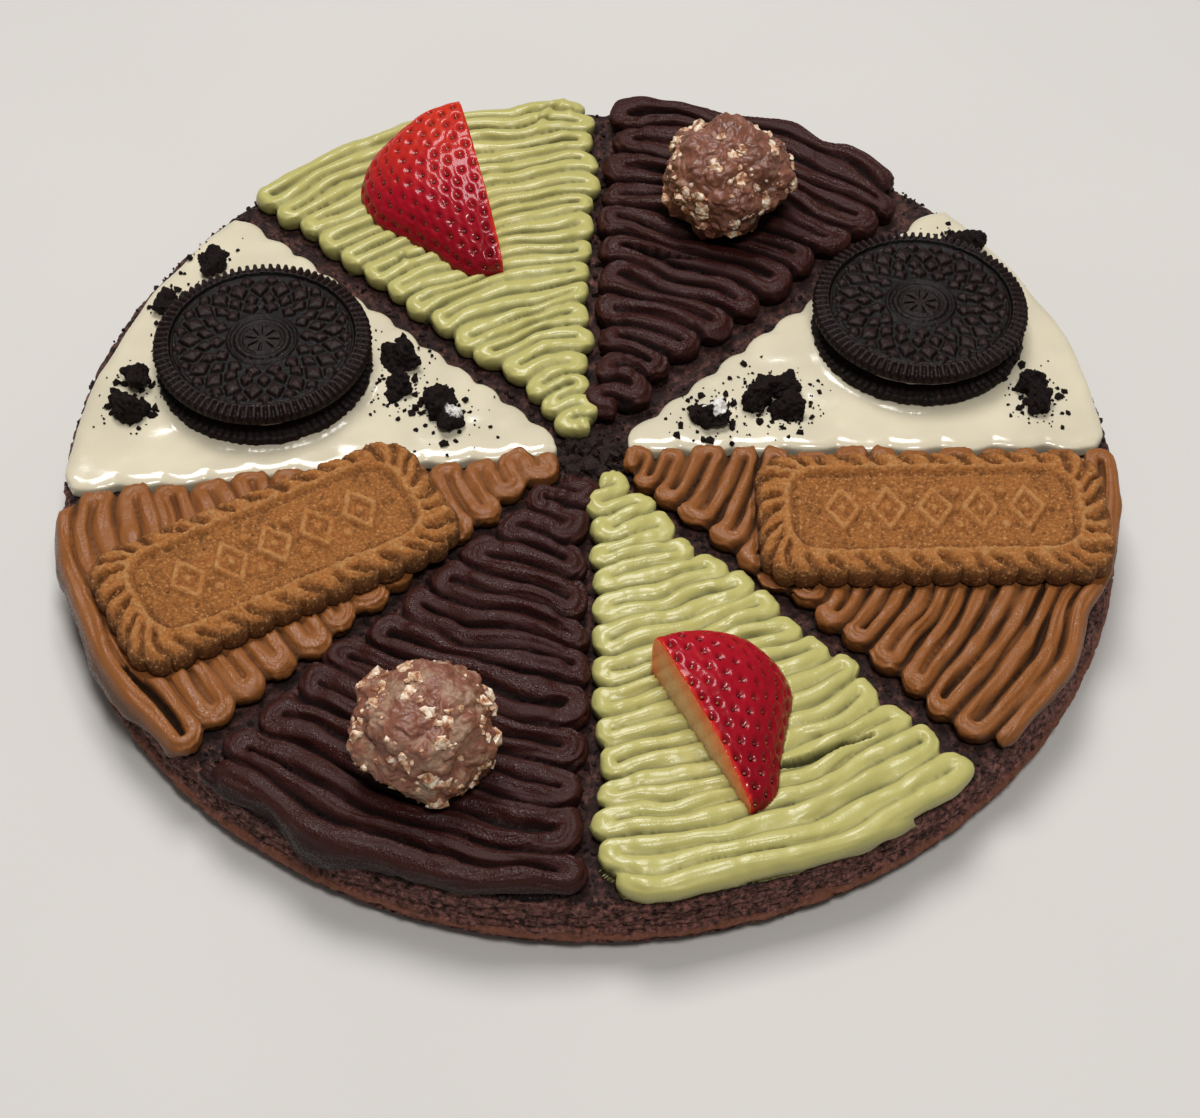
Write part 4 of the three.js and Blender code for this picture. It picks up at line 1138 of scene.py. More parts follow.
def slit_depth(slits, point):
    """How far the cream is parted down to its floor at a point, from 0 to 1."""
    deepest = 0
    for x0, y0, x1, y1, half in slits:
        ends = Vector((x0, y0, 0)), Vector((x1, y1, 0))
        flat = Vector((point.x, point.y, 0))
        near, share = intersect_point_line(flat, *ends)
        if 0 < share < 1:
            width = half * math.sqrt(4 * share * (1 - share))
            deepest = max(deepest, ramp((flat - near).length, width + 0.5, width))
    return deepest


def piped_strands(wedge, path, grain):
    """A wedge's rows and threads of cream, run together where they touch and level underneath."""
    seed, half_height = wedge["seed"], wedge["height"] / 2
    lifted = []
    for i, (point, width) in enumerate(path):
        swell = 1 + 0.08 * wave(i * 0.13, seed) + 0.05 * wave(i * 0.4, seed + 5)
        swell *= end_taper(i, len(path))
        lift = UP * (ICING_FLOOR + half_height + 0.25 * wave(i * 0.21, seed + 9))
        lifted.append((point + lift, width * swell))
    bm = bmesh.new()
    tube(bm, lifted, half_height / (BEAD * pitch_of(wedge)))
    for thread in THREADS.get(wedge["name"], ()):
        tube(bm, [(Vector(place[:3]), place[3]) for place in spaced(thread, 0.8)])
    bm = fused(bm, grain)
    cut_level(bm, ICING_FLOOR)
    smoothed(bm, ICING_FLOOR, 2)
    return bm


def filled_rows(bm, wedge, path):
    """Fills the rows out, tilts them down towards the rim, and stores each vertex's place on its
    strand and how deep in a crease it lies. Returns both layers."""
    pitch, height, spacing = pitch_of(wedge), wedge["height"], CREAMS[wedge["slot"]]["spacing"]
    _, crease_width, crease_dark = wedge["crease"]
    middle = math.radians(sum(wedge["angles"]) / 2)
    outwards = Vector((math.cos(middle), math.sin(middle), 0))
    tree = tree_of([point for point, _ in path])
    run = [0.0]
    for (a, _), (b, _) in zip(path, path[1:]):
        run.append(run[-1] + (b - a).length)
    strand = bm.verts.layers.float_vector.new("strand")
    crease = bm.verts.layers.float.new("crease")
    for v in bm.verts:
        along, off, aside, nearer = strand_at(tree, path, run, v.co)
        up = v.co.z - ICING_FLOOR
        v[strand] = Vector((along * 0.06, aside / spacing, up * 0.5)) * MM
        depth = 0.78 + 0.75 * noise.noise(Vector((along / 11, wedge["seed"], aside * 0.3)))
        rounded = math.hypot(nearer, 0.8) - 0.8
        v[crease] = crease_dark * max(0, 1 - rounded / crease_width) ** 1.2 * depth * ramp(up, 0.2, 1.4)
        if up > FOOT_HEIGHT:
            share = min(1, up / height)
            packed = ramp(nearer, 4.2, 2.2)
            filled = packed * height * (1 - (1 - share) ** 1.6 - share)
            lean = 0.5 * packed * off.dot(outwards) / pitch * ramp(nearer, 0, 1.2)
            v.co.z += filled - lean
    evened(bm, crease)
    evened(bm, crease)
    return strand, crease


def settled(bm, wedge, slits):
    """Parts the cream at its slits, lets it stray, presses it level under the toppings and sags it
    over the rim."""
    stray, presses = CREAMS[wedge["slot"]]["stray"], footprints()
    for v in bm.verts:
        if v.co.z > ICING_FLOOR + 0.05:
            v.co.z -= (v.co.z - ICING_FLOOR - 0.3) * slit_depth(slits, v.co)
            here = Vector((v.co.x, v.co.y, wedge["seed"])) / 12
            sway = Vector((noise.noise(here), noise.noise(here + Vector((40, 0, 0))), 0))
            v.co += 2 * stray * sway
            level = min(test(v.co) for test in presses)
            v.co.z = max(ICING_FLOOR, min(v.co.z, level))
        beyond = max(0, math.hypot(v.co.x, v.co.y) - SAG_FROM)
        v.co.z -= min(DEEPEST_SAG, 1.1 * beyond ** 1.3)


def piped_wedge(wedge, material, look):
    """One wedge of piped cream, with creases between its rows and the nozzle's fine lines."""
    cream, slits = CREAMS[wedge["slot"]], SLITS.get(wedge["name"], ())
    drift = Vector((wedge["seed"], 2 * wedge["seed"], 0))
    path = nozzle_path(wedge)
    bm = piped_strands(wedge, path, look.grain / MM)
    strand, crease = filled_rows(bm, wedge, path)
    crease_depth = wedge["crease"][0]
    for v in bm.verts:
        if v.co.z - ICING_FLOOR > FOOT_HEIGHT:
            v.co.z -= crease_depth * v[crease]
        # Crease values above 1.2 mark the slits, which the cream's material fills with a near-black painted
        # shadow
        v[crease] += 1.2 * slit_depth(slits, v.co)
    smoothed(bm, ICING_FLOOR, 1)

    def ridges(v):
        if v.co.z < ICING_FLOOR + 0.05:
            return 0
        crests = 0.5 - 2 * abs(noise.noise(v[strand] / MM + drift))
        return cream["ridges"] * crests + 0.22 * rough(v.co + drift, 5, 2)
    move_along_normals(bm, ridges)
    settled(bm, wedge, slits)
    return finished(wedge["name"] + "_piped", bm, [material], [wedge["name"]])


def glaze_outline(wedge):
    """The rim of a poured wedge as points: a scalloped edge, the rim arc and the other edge."""
    edges = wedge_edges(wedge["angles"], wedge["gaps"])
    sides = []
    for side, edge in enumerate(edges):
        waves, depth = wedge["scallops"][side], wedge["depth"][side]
        steps = 14 * waves
        line = []
        for i in range(steps + 1):
            phase = waves * i / steps
            lobe = abs(math.sin(math.pi * phase)) ** 0.7
            distance = between(wedge["inner"], wedge["outer"][side] - 2, i / steps)
            inset = depth * (1 - lobe) + 0.55 * wave(phase * 0.8, wedge["seed"] + side)
            line.append(edge_point(edge, distance, inset))
        sides.append(line)
    low, high = wedge["angles"]
    rim = []
    for i in range(1, 90):
        share = i / 90
        turn = math.radians(between(low + 2, high - 2, share))
        r = between(*wedge["outer"], share**3) + 0.5 * wave(share * 8.8, wedge["seed"] + 3)
        rim.append(Vector((r * math.cos(turn), r * math.sin(turn), 0)))
    return [*sides[0], *rim, *sides[1][::-1]]


def poured_wedge(wedge, material):
    """One wedge of poured glaze, level and rounded off at its edges, which clings to its cookie."""
    # Spare depth under the icing's floor, which is cut off again once the skin is fused
    spare = 0.6
    outline = glaze_outline(wedge)
    bm = bmesh.new()
    face = bm.faces.new([bm.verts.new(p + UP * (ICING_FLOOR - spare)) for p in outline])
    raised = bmesh.ops.extrude_face_region(bm, geom=[face])
    tops = [g for g in raised["geom"] if isinstance(g, bmesh.types.BMVert)]
    bmesh.ops.translate(bm, vec=(0, 0, GLAZE_HEIGHT + spare), verts=tops)
    bmesh.ops.recalc_face_normals(bm, faces=bm.faces)
    bm = fused(bm, GLAZE_GRAIN)
    cut_level(bm, ICING_FLOOR)
    smoothed(bm, ICING_FLOOR, 8)
    rim = tree_of(outline)
    cookie = next(c for c in COOKIES if c["name"][-4:] == wedge["name"][-4:])
    middle = Vector((*cookie["at"][:2], 0))
    for v in bm.verts:
        if v.co.z < ICING_FLOOR + 0.6:
            continue
        off = rim.find(Vector((v.co.x, v.co.y, 0)))[2]
        swell = 0.3 * rough(v.co, 8, 2) + 0.16 * rough(v.co, 26, 1)
        sag = 0.4 * ramp(off, 2.4, 0.2)
        cling = 0.4 * ramp((Vector((v.co.x, v.co.y, 0)) - middle).length, 24, 22.4)
        v.co.z += (swell + cling - sag) * ramp(v.co.z, ICING_FLOOR + 0.6, GLAZE_TOP)
    return finished(wedge["name"] + "_poured", bm, [material], [wedge["name"]])


# The toppings

def wafer_profile(radius, pressed):
    """A wafer's section from the middle of its underside round to the middle of its face, which is
    sunk inside its rim where it is pressed."""
    top = WAFER_THICKNESS
    rim = [(radius - 0.7, 0), (radius, 1.05), (radius - 0.45, 2.5), (radius - 3.3, top)]
    face = [rim[-1], (radius - 3.8, SUNK_FACE), (0, SUNK_FACE)] if pressed else [rim[-1], (0, top)]
    under = spaced([(0, 0), rim[0]], 3)
    return under + spaced(rim, 0.3 if pressed else 0.6)[1:] + spaced(face, 0.27 if pressed else 3)[1:]


def motif(turn, r, count, middle, half_length, half_width, shift):
    """How far inside the nearest of a ring of pointed motifs a point lies, from 1 to below 0. The ring
    has count of them round its middle radius, and is turned on by a share of a step."""
    aside = abs((turn / TURN * count + shift) % 1 - 0.5) * TURN / count * r
    return 1 - abs(r - middle) / half_length - aside / half_width


def wafer_relief(x, y):
    """Height of the pressed pattern on a wafer's face: rings of faceted darts round a boss."""
    r, turn = math.hypot(x, y), math.atan2(y, x)
    height = 0.45 * ramp(abs(r - 18), 0.45, 0.15) + 0.6 * ramp(abs(r - 6.9), 0.45, 0.15)
    rings = (
        (21, 14.7, 2.5, 2, 0), (21, 11.7, 1.9, 1.5, 0.5), (14, 9.2, 1.7, 1.7, 0), (21, 16.9, 1.4, 1.6, 0.5),
    )
    for ring in rings:
        inside = motif(turn, r, *ring)
        height = max(height, 0.72 * ramp(inside, 0, 0.16) + 0.5 * max(0, inside))
    height += 0.6 * ramp(r, 5.9, 5.4) - 0.45 * ramp(abs(r - 4.3), 0.5, 0.2)
    rays = ramp(r, 0.9, 1.4) * ramp(r, 3.7, 3.2) * ramp(abs((turn / TURN * 8) % 1 - 0.5), 0.2, 0.08)
    return height - 0.5 * rays


def cookie_wafer(radius, pressed, material, name, cookie, lift):
    """One wafer of a sandwich cookie; the top one has a fluted rim and a pressed face."""
    flutes = 84
    bm = lathe(flutes * 7 if pressed else 300, wafer_profile(radius, pressed))
    relief = bm.verts.layers.float.new("relief")
    for v in bm.verts:
        x, y = v.co.x, v.co.y
        r, turn = math.hypot(x, y), math.atan2(y, x)
        # The relief attribute, from the pressed height and the flutes, drives the wafer's painted shade in
        # grooves and painted highlight on crests
        v[relief] = 0.6
        if pressed and v.co.z > 2 and r < radius - 3.4:
            raised = wafer_relief(x, y) * ramp(r, radius - 3.6, radius - 4.2)
            v.co.z += raised
            v[relief] = raised
        band = ramp(r, radius - 3.2, radius - 2.7) * ramp(v.co.z, 0.2, 0.9)
        groove = ramp(math.cos(turn * flutes), -0.4, 0.5)
        if band:
            v[relief] = 0.85 - 0.8 * groove * band
        depth = (1.05 if pressed else 0.25) * band * groove
        flat = Vector((x, y, 0)).normalized()
        v.co -= flat * 0.7 * depth * ramp(r, radius - 2, radius - 1) + UP * depth * ramp(v.co.z, 1.6, 2.4)
        v.co += Vector((flat.x, flat.y, 0.6)) * 0.13 * rough(v.co + Vector((0, 0, lift)), 0.9, 3)
        if not pressed and r > radius - 2:
            v.co -= flat * max(0, 0.4 * rough(v.co, 1.6, 3) + 0.1)
    bmesh.ops.translate(bm, vec=(0, 0, lift), verts=bm.verts)
    placed(bm, cookie["at"], cookie["turn"], cookie["tilt"])
    return finished(name + "_baked", bm, [material], [name])


def sandwich_cookie(cookie, wafer, filling, radius):
    """Two wafers with a filling between them, uneven at its rim."""
    name = cookie["name"]
    cookie_wafer(radius, False, wafer, name + "_bottom_wafer", cookie, 0)
    cream = lathe(160, spaced(FILLING_PROFILE, 0.8))
    for v in cream.verts:
        flat = Vector((v.co.x, v.co.y, 0))
        if flat.length > 18.5:
            v.co -= flat.normalized() * (0.3 + 0.4 * rough(v.co, 3, 2))
    placed(cream, cookie["at"], cookie["turn"], cookie["tilt"])
    finished(name + "_filling", cream, [filling], [name + "_cream"])
    cookie_wafer(radius, True, wafer, name + "_top_wafer", cookie, TOP_WAFER_HEIGHT)


def broken_piece(node, material):
    """Lumps of broken cookie in one node, craggy and flat underneath."""
    bm = bmesh.new()
    rest = GLAZE_TOP + 0.03
    chance = random.Random(sum(map(ord, node["name"])))
    for x, y, *half in node["lumps"]:
        corners = []
        centre = Vector((x, y, rest + half[2] * 0.45))
        for _ in range(12):
            way = Vector([chance.gauss(0, 1) for _ in range(3)]).normalized()
            reach = chance.uniform(0.94, 1.18)
            spot = centre + Vector([w * h * reach for w, h in zip(way, half)])
            corners.append(bm.verts.new(spot))
        bmesh.ops.convex_hull(bm, input=corners, use_existing_faces=False)
    bmesh.ops.delete(bm, geom=[v for v in bm.verts if not v.link_faces], context="VERTS")
    bm = fused(bm, CRAG_GRAIN)
    seed = Vector((chance.uniform(0, 50), 0, 0))

    def crags(v):
        pores = ramp(cell_distance(v.co, 1.3), 0.42, 0.15)
        return 0.12 + 0.75 * rough(v.co + seed, 2.4, 5) + 0.3 * rough(v.co - seed, 0.8, 2) - 0.5 * pores
    move_along_normals(bm, crags)
    smear = bm.verts.layers.float.new("filling")
    x, y, *half = node["lumps"][-1]
    spot = Vector((x + 0.9, y + 0.6, GLAZE_TOP + half[2] * 0.9))
    for v in bm.verts:
        v.co.z = max(rest, v.co.z)
        v[smear] = node["filling"] * ramp((v.co - spot).length, 3.6, 1.6) * 1.25
    return finished(node["name"] + "_crumbly", bm, [material], [node["name"]])


def cocoa_crumbs(material):
    """Small crumbs strewn round the broken pieces and beside the cookies."""
    chance = random.Random(8)
    bm = bmesh.new()
    for node in BROKEN:
        for x, y, *half in node["lumps"]:
            for _ in range(48):
                turn = chance.uniform(0, TURN)
                reach = half[0] + abs(chance.gauss(0, 3.1)) - 0.4
                radius = 0.2 + 0.75 * chance.random() ** 4.2
                spot_x, spot_y = x + reach * math.cos(turn), y + reach * math.sin(turn)
                spot = Vector((spot_x, spot_y, GLAZE_TOP + 0.25 * radius))
                if math.hypot(spot.x, spot.y) < 101.5:
                    crumb(bm, spot, radius, chance, 0.5)
    nodes = [wedge["name"] for wedge in POURED]
    return finished("cocoa_crumbs", bm, [material], nodes, faceted=True)


def on_rounded(share, half_length, half_width, corner):
    """A point on a rounded rectangle, at a share of its way round from mid-right."""
    x, y = half_length - corner, half_width - corner
    arc = corner * math.pi / 2
    corners = [(x, y), (-x, y), (-x, -y), (x, -y)]
    straights = [
        ((half_length, 0), (0, 1), y), ((x, half_width), (-1, 0), 2 * x),
        ((-half_length, y), (0, -1), 2 * y), ((-x, -half_width), (1, 0), 2 * x),
        ((half_length, -y), (0, 1), y),
    ]
    left = share * (4 * (x + y) + 4 * arc)
    for i, ((start_x, start_y), (way_x, way_y), length) in enumerate(straights):
        if left <= length or i == len(corners):
            return Vector((start_x + way_x * left, start_y + way_y * left, 0))
        left -= length
        if left <= arc:
            turn = (i + left / arc) * math.pi / 2
            centre_x, centre_y = corners[i]
            return Vector((centre_x + corner * math.cos(turn), centre_y + corner * math.sin(turn), 0))
        left -= arc


def inside_rounded(x, y, half_length, half_width, corner):
    """How deep a point lies inside a rounded rectangle, negative outside it."""
    dx, dy = abs(x) - half_length + corner, abs(y) - half_width + corner
    outside = math.hypot(max(dx, 0), max(dy, 0))
    return corner - outside - min(max(dx, dy), 0)


def biscuit_relief(x, y, depth, phase):
    """Height of a biscuit's face above its underside, less its thickness, in mm: rounded off at its
    edge, grooved on its border, and with a row of lozenges and dots in its sunk panel."""
    edge = -3.2 * (1 - math.sqrt(1 - (1 - min(1, depth / 3)) ** 2))
    in_panel = inside_rounded(x, y, *BISCUIT_PANEL)
    stray = 0.34 * noise.noise(Vector((x / 5, y / 5, 3)))
    groove = (0.5 + 0.5 * math.cos(TURN * (phase + depth * 0.16 + stray))) ** 2.6
    reach = -1.6 - 0.9 * noise.noise(Vector((x / 3, y / 3, 7)))
    grooves = -1.9 * groove * ramp(depth, 0.2, 1.8) * ramp(in_panel, reach, reach - 1.1)
    panel = -0.9 * ramp(in_panel, -0.8, -0.1)
    lip = 0.3 * ramp(abs(in_panel + 1.2), 0.7, 0.1) - 0.45 * ramp(abs(in_panel - 0.3), 0.45, 0.1)
    pattern = 0
    if abs(x) < 22.5:
        across = ((x + 4.5) % 9) - 4.5
        inside = 1 - abs(across) / 4.1 - abs(y) / 6.2
        pattern = 1.15 * ramp(inside, -0.02, 0.12) - 1.1 * ramp(inside, 0.36, 0.48)
        pattern += 1.1 * ramp(inside, 0.72, 0.82)
        if abs(x) < 18.5:
            dots = math.hypot(abs(across) - 4.5, abs(y) - 4.4)
            pattern = max(pattern, ramp(dots, 1.25, 0.8))
    return edge + grooves + panel + lip + pattern


def caramel_biscuit(item, material, look):
    """A fluted biscuit: a scalloped outline, slanting grooves on its border and a sunk panel."""
    half_length, half_width = look.biscuit_length / MM / 2, look.biscuit_width / MM / 2
    scallops, corner, thickness = 35, 7.5, BISCUIT_THICKNESS

    def outline(share):
        point = on_rounded(share, half_length, half_width, corner)
        lobe = abs(math.sin(math.pi * share * scallops)) ** 0.6
        core = Vector((max(-21, min(21, point.x)), 0, 0))
        uneven = 0.3 * wave(share * scallops, item["turn"])
        return core, point - (point - core).normalized() * (1.3 * (1 - lobe) + 0.3 + uneven)

    def place(u, v):
        # The sheet's rows run out on the underside to 0.08, up the edge to 0.2 and in over the face
        core, rim = outline(u)
        if v <= 0.08:
            return core.lerp(rim, v / 0.08 * 0.97)
        if v <= 0.2:
            rise = (v - 0.08) / 0.12
            return core.lerp(rim, 0.97 + 0.03 * math.sin(rise * math.pi / 2)) + UP * (rise * (thickness - 3))
        inwards = (v - 0.2) / 0.8
        point = core.lerp(rim, 1 - inwards)
        depth = inside_rounded(point.x, point.y, half_length - 0.3, half_width - 0.3, corner)
        depth = max(depth, (rim - point).length * 0.6 if inwards < 0.3 else 0)
        return point + UP * (thickness + biscuit_relief(point.x, point.y, max(0, depth), u * scallops))
    bm = sheet(700, 52, place)
    relief = bm.verts.layers.float.new("relief")
    for v in bm.verts:
        above = ramp(v.co.z, 0.4, 2)
        in_panel = inside_rounded(v.co.x, v.co.y, *BISCUIT_PANEL)
        sandy = between(0.62, 0.2, ramp(in_panel, -1.5, 0.5))
        pores = 0.45 * ramp(cell_distance(v.co, 1.9), 0.3, 0.1)
        grain = sandy * rough(v.co, 1.15, 4) + 0.4 * rough(v.co, 5, 2) - pores
        v.co.z += above * grain
        v[relief] = min(1, max(0, (v.co.z - thickness + 1.7) / 2.2))
    placed(bm, item["at"], item["turn"])
    return finished(item["name"] + "_baked", bm, [material], [item["name"]])


def berry_section(along):
    """A strawberry's place along its axis, half width and half height at a share along its outline."""
    at = along * (len(BERRY_OUTLINE) - 1)
    i = min(int(at), len(BERRY_OUTLINE) - 2)
    f = at - i
    points = [BERRY_OUTLINE[max(0, min(len(BERRY_OUTLINE) - 1, k))] for k in (i - 1, i, i + 1, i + 2)]

    def smooth(a, b, c, d):
        return b + 0.5 * f * (c - a + f * (2 * a - 5 * b + 4 * c - d + f * (3 * (b - c) + d - a)))
    return [smooth(*values) for values in zip(*points)]


def seed_places(skin, length):
    """Where the seeds lie on the skin, staggered about 3 mm apart."""
    apart = 3.05
    chosen = []
    for v in skin:
        kept = v.co.z > 0.6 and abs(v.co.y) > 0.8 and v.co.x < length * 0.985
        if kept and all((v.co - other).length > apart for other in chosen):
            chosen.append(v.co.copy())
    return chosen


def sunk_seeds(places):
    """Small flat seeds, each sunk in its pit."""
    bm = bmesh.new()
    for point in places:
        outwards = Vector((0, point.y, point.z)).normalized()
        turn = outwards.to_track_quat("Z", "X").to_matrix().to_4x4()
        squash = Matrix.Diagonal((0.5, 0.32, 0.25, 1))
        matrix = Matrix.Translation(point - outwards * 0.68) @ turn @ squash
        bmesh.ops.create_icosphere(bm, subdivisions=1, radius=1, matrix=matrix)
    return bm


def quarter_strawberry(berry, skin_material, flesh_material, seed_material):
    """A quarter strawberry on its lower cut, with pitted skin and two cut faces."""
    length, side = berry["length"], berry["side"]

    def place(u, v):
        along, wide, high = berry_section(v)
        turn = math.pi * min(u, 0.5)
        inwards = 1 if u <= 0.5 else abs(u - 0.75) * 4
        across, up = math.cos(turn), math.sin(turn)
        if u > 0.75:
            across, up = 1, 0
        return Vector((along, wide * across * inwards * side, high * up * inwards)) * length
    bm = sheet(200, 130, place)
    bmesh.ops.recalc_face_normals(bm, faces=bm.faces)
    pit, ripeness_and_shade = bm.verts.layers.float.new("pit"), bm.verts.layers.float.new("ripeness_and_shade")
    depth = bm.verts.layers.float.new("depth")
    for face in bm.faces:
        middle = face.calc_center_median()
        face.material_index = 1 if min(abs(middle.y), middle.z) < 1e-4 * length else 0
    skin = [v for v in bm.verts if any(f.material_index == 0 for f in v.link_faces)]
    seeds = seed_places(skin, length)
    pits = tree_of(seeds)
    for v in skin:
        off = pits.find(v.co)[2]
        uneven = 0.25 * noise.noise(v.co * 1.3)
        dip = -0.6 * ramp(off, 1 + uneven, 0.15) + 0.2 * ramp(abs(off - 1.35), 0.75, 0.05)
        # Painted shade: this mask darkens the skin in each pit round its seed
        v[pit] = 0.9 * ramp(off, 0.8 + uneven, 0.35)
        # The skin pales towards the crown and near the upright cut, and is darker low on the berry as painted
        # shade
        v[ripeness_and_shade] = berry["pale"] * v.co.x / length * ramp(v.co.z, -0.1 * length, 0.3 * length)
        v[ripeness_and_shade] = max(v[ripeness_and_shade], 0.8 * ramp(abs(v.co.y), 1.5, 0.2))
        outwards = Vector((0, v.co.y, v.co.z)).normalized()
        v.co += outwards * (dip + 0.4 * rough(v.co, 9, 2) - 0.2)
    skin_near = tree_of([v.co for v in skin])
    for v in bm.verts:
        v[depth] = min(1, skin_near.find(v.co)[2] / 8)
    seed_bm = sunk_seeds(seeds)
    for body in (bm, seed_bm):
        placed(body, berry["tip"], berry["heading"])
    name = berry["name"]
    finished(name + "_seeds", seed_bm, [seed_material], [name])
    return finished(name + "_flesh", bm, [skin_material, flesh_material], [name])


def praline(item, chocolate, hazelnut):
    """A milk chocolate ball, lumpy with chopped nuts, some bare and some under the coating."""
    radius, seed = item["radius"], item["seed"]
    centre = Vector(item["at"])
    drift = Vector((seed * 7, 0, seed))
    chance = random.Random(seed)
    # The noise vector's offsets come from a generator that would otherwise start from the clock
    noise.seed_set(seed)
    chipped, chip_depth = Vector(item["chip"][:3]), item["chip"][3]
    bm = bmesh.new()
    bmesh.ops.create_icosphere(bm, subdivisions=7, radius=1)

    def reach(way):
        p = way * radius + drift
        chip = chip_depth * ramp(way.angle(chipped) + 0.12 * noise.noise(way * 4), 0.52, 0.26)
        knobs = item["lumps"] * rough(p, 8, 2)
        warped = p + 1.5 * noise.noise_vector(p / 2.4)
        bits = ramp(cell_distance(warped, 4), 0.6, 0.35)
        bits += 0.6 * ramp(cell_distance(warped + drift, 2.3), 0.5, 0.3)
        return radius - 1.6 + knobs + 0.55 * bits + 0.4 * rough(p, 2, 4) - chip
    for v in bm.verts:
        way = v.co.normalized()
        v.co = centre + way * reach(way)
    nuts = bmesh.new()
    for _ in range(item["nuts"]):
        way = Vector([chance.gauss(0, 1) for _ in range(3)]).normalized()
        if noise.noise(way * 2.4 + drift) < -0.05:
            continue
        size = 0.35 + 1.5 * chance.random() ** 2
        before = len(nuts.verts)
        crumb(nuts, centre + way * (reach(way) - 0.1 * size), size, chance, 0.45)
        if size > 0.9:
            for _ in range(2):
                aside = Vector([chance.uniform(-size, size) for _ in range(3)])
                near = (way * radius + aside).normalized()
                crumb(nuts, centre + near * reach(near), size * chance.uniform(0.35, 0.7), chance, 0.5)
        nuts.verts.ensure_lookup_table()
        for v in nuts.verts[before:]:
            off = (v.co - centre).dot(way) - reach(way)
            v.co -= way * off * 0.3
    squash = Matrix.Diagonal(item["stretch"]).to_4x4()
    for body in (bm, nuts):
        bmesh.ops.transform(body, matrix=squash, space=Matrix.Translation(-centre), verts=body.verts)
    finished(item["name"] + "_nuts", nuts, [hazelnut], [item["name"]], faceted=True)
    return finished(item["name"] + "_coating", bm, [chocolate], [item["name"]])


# Operators

class BROWNIE_OT_base(bpy.types.Operator):
    """Bakes the brownie: its body and the loose crumbs on it"""

    bl_idname = "brownie.base"
    bl_label = "Brownie"

    def execute(self, context):
        look = context.scene.brownie_look
        brownie_body(look)
        loose_crumbs(look)
        return {"FINISHED"}


class BROWNIE_OT_piped(bpy.types.Operator):
    """Pipes the six wedges of cream and ganache"""

    bl_idname = "brownie.piped"
    bl_label = "Piped wedges"

    def execute(self, context):
        look = context.scene.icing_look
        # dark and pale set each cream's painted shade low down and painted light on its crests
        creams = {
            "pistachio_cream": piped_cream(
                "piped_pistachio_cream", tuple(look.pistachio),
                dark=0.56, pale=1.08, gloss=0.27, specular=0.38, streaked=0.04,
            ),
            "chocolate_ganache": piped_cream(
                "piped_chocolate_ganache", tuple(look.ganache),
                dark=0.5, pale=1.3, gloss=0.4, specular=0.2, streaked=0.3,
            ),
            "caramel_cream": piped_cream(
                "piped_caramel_cream", tuple(look.caramel),
                dark=0.38, pale=1.1, gloss=0.36, specular=0.27, streaked=0.18,
            ),
        }
        for wedge in PIPED:
            piped_wedge(wedge, creams[wedge["slot"]], look)
        return {"FINISHED"}


class BROWNIE_OT_poured(bpy.types.Operator):
    """Pours the two wedges of white glaze"""

    bl_idname = "brownie.poured"
    bl_label = "Poured wedges"

    def execute(self, context):
        look = context.scene.icing_look
        material = poured_glaze(look)
        for wedge in POURED:
            poured_wedge(wedge, material)
        return {"FINISHED"}


class BROWNIE_OT_cookies(bpy.types.Operator):
    """Sets the sandwich cookies and the broken cookie on the glaze"""

    bl_idname = "brownie.cookies"
    bl_label = "Cookies"

    def execute(self, context):
        look = context.scene.topping_look
        wafer, filling = cocoa_wafer(look), cookie_filling(look)
        broken = broken_wafer(look)
        for cookie in COOKIES:
            sandwich_cookie(cookie, wafer, filling, look.cookie_radius / MM)
        for node in BROKEN:
            broken_piece(node, broken)
        cocoa_crumbs(broken)
        return {"FINISHED"}


class BROWNIE_OT_biscuits(bpy.types.Operator):
    """Lays the caramel biscuits on the caramel cream"""

    bl_idname = "brownie.biscuits"
    bl_label = "Biscuits"

    def execute(self, context):
        look = context.scene.topping_look
        material = baked_biscuit(look)
        for item in BISCUITS:
            caramel_biscuit(item, material, look)
        return {"FINISHED"}


class BROWNIE_OT_strawberries(bpy.types.Operator):
    """Lays the quarter strawberries on the pistachio cream"""

    bl_idname = "brownie.strawberries"
    bl_label = "Strawberries"

    def execute(self, context):
        look = context.scene.topping_look
        skin, flesh, seed = strawberry_skin(look), strawberry_flesh(look), strawberry_seed()
        for berry in BERRIES:
            quarter_strawberry(berry, skin, flesh, seed)
        return {"FINISHED"}


class BROWNIE_OT_pralines(bpy.types.Operator):
    """Sets the hazelnut pralines on the ganache"""

    bl_idname = "brownie.pralines"
    bl_label = "Pralines"

    def execute(self, context):
        look = context.scene.topping_look
        hazelnut = chopped_hazelnut(look)
        for item in PRALINES:
            chocolate = milk_chocolate(item["name"] + "_chocolate", look, item["bloom"])
            praline(item, chocolate, hazelnut)
        return {"FINISHED"}


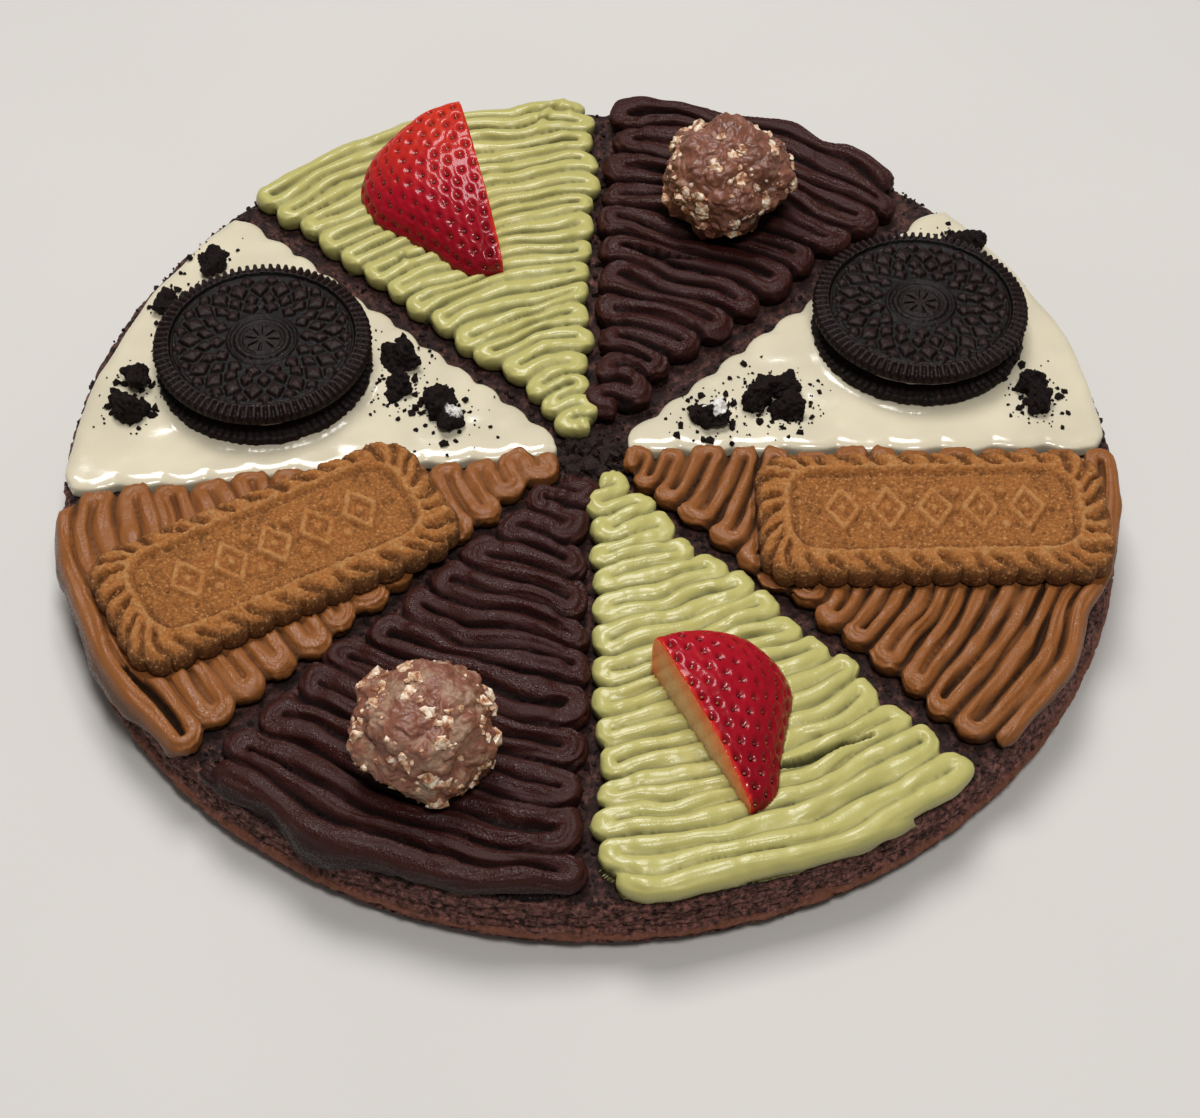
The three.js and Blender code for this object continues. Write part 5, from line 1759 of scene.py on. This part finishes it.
class BROWNIE_OT_stage(bpy.types.Operator):
    """Lays the floor, hangs the lights and sets the camera"""

    bl_idname = "brownie.stage"
    bl_label = "Stage"

    def execute(self, context):
        scene = context.scene
        bm = bmesh.new()
        bmesh.ops.create_grid(bm, x_segments=1, y_segments=1, size=6)
        mesh = bpy.data.meshes.new("floor")
        bm.to_mesh(mesh)
        bm.free()
        mesh.materials.append(plain_floor(scene.stage_look))
        floor = bpy.data.objects.new("floor", mesh)
        scene.collection.objects.link(floor)
        self.hang_light(scene, "window", (-0.1, 0.42, 1.15), size=0.5, power=11.8)
        self.hang_light(scene, "lamp", (0.12, -0.42, 1.05), size=0.2, power=5.7)
        world = bpy.data.worlds.new("soft_daylight")
        world.use_nodes = True
        background = world.node_tree.nodes["Background"]
        background.inputs["Color"].default_value = (*linear(0xF2F1EE), 1)
        background.inputs["Strength"].default_value = 0.17
        scene.world = world
        scene.view_settings.view_transform = "Standard"
        self.set_camera(scene)
        return {"FINISHED"}

    def hang_light(self, scene, name, at, size, power):
        """Hangs a square light that faces the middle of the cake; its size is in metres."""
        light = bpy.data.lights.new(name, "AREA")
        light.size = size
        light.energy = power
        lamp = bpy.data.objects.new(name, light)
        lamp.location = at
        lamp.rotation_euler = (-Vector(at)).to_track_quat("-Z", "Y").to_euler()
        scene.collection.objects.link(lamp)

    def set_camera(self, scene):
        """The camera looks along +Y and down, rolled a little, with a long lens."""
        elevation, roll = math.radians(CAMERA_ELEVATION), math.radians(CAMERA_ROLL)
        back = Vector((0, -math.cos(elevation), math.sin(elevation)))
        right = Vector((1, 0, 0))
        up = back.cross(right)
        turned_right = right * math.cos(roll) + up * math.sin(roll)
        turned_up = up * math.cos(roll) - right * math.sin(roll)
        camera = bpy.data.cameras.new("camera")
        camera.lens = CAMERA_LENS
        camera.sensor_width = 36
        camera.sensor_fit = "HORIZONTAL"
        holder = bpy.data.objects.new("camera", camera)
        axes = Matrix((turned_right, turned_up, back)).transposed()
        holder.matrix_world = Matrix.Translation(CAMERA_PLACE) @ axes.to_4x4()
        scene.collection.objects.link(holder)
        scene.camera = holder


class BROWNIE_PT_panel(bpy.types.Panel):
    """Lists the steps that build the brownie"""

    bl_idname = "BROWNIE_PT_panel"
    bl_label = "Decorated brownie"
    bl_space_type = "VIEW_3D"
    bl_region_type = "UI"
    bl_category = "Brownie"

    def draw(self, context):
        for step in STEPS:
            self.layout.operator(step.bl_idname)


LOOKS = {
    "brownie_look": BrownieLook,
    "icing_look": IcingLook,
    "topping_look": ToppingLook,
    "stage_look": StageLook,
}

STEPS = [
    BROWNIE_OT_base, BROWNIE_OT_piped, BROWNIE_OT_poured, BROWNIE_OT_cookies,
    BROWNIE_OT_biscuits, BROWNIE_OT_strawberries, BROWNIE_OT_pralines, BROWNIE_OT_stage,
]


def register():
    for cls in (*LOOKS.values(), *STEPS, BROWNIE_PT_panel):
        bpy.utils.register_class(cls)
    for name, look in LOOKS.items():
        setattr(bpy.types.Scene, name, bpy.props.PointerProperty(type=look))


def unregister():
    for name in LOOKS:
        delattr(bpy.types.Scene, name)
    for cls in (BROWNIE_PT_panel, *reversed(STEPS), *reversed(LOOKS.values())):
        bpy.utils.unregister_class(cls)


def main():
    register()
    for step in STEPS:
        group, name = step.bl_idname.split(".")
        getattr(getattr(bpy.ops, group), name)()


if __name__ == "__main__":
    main()
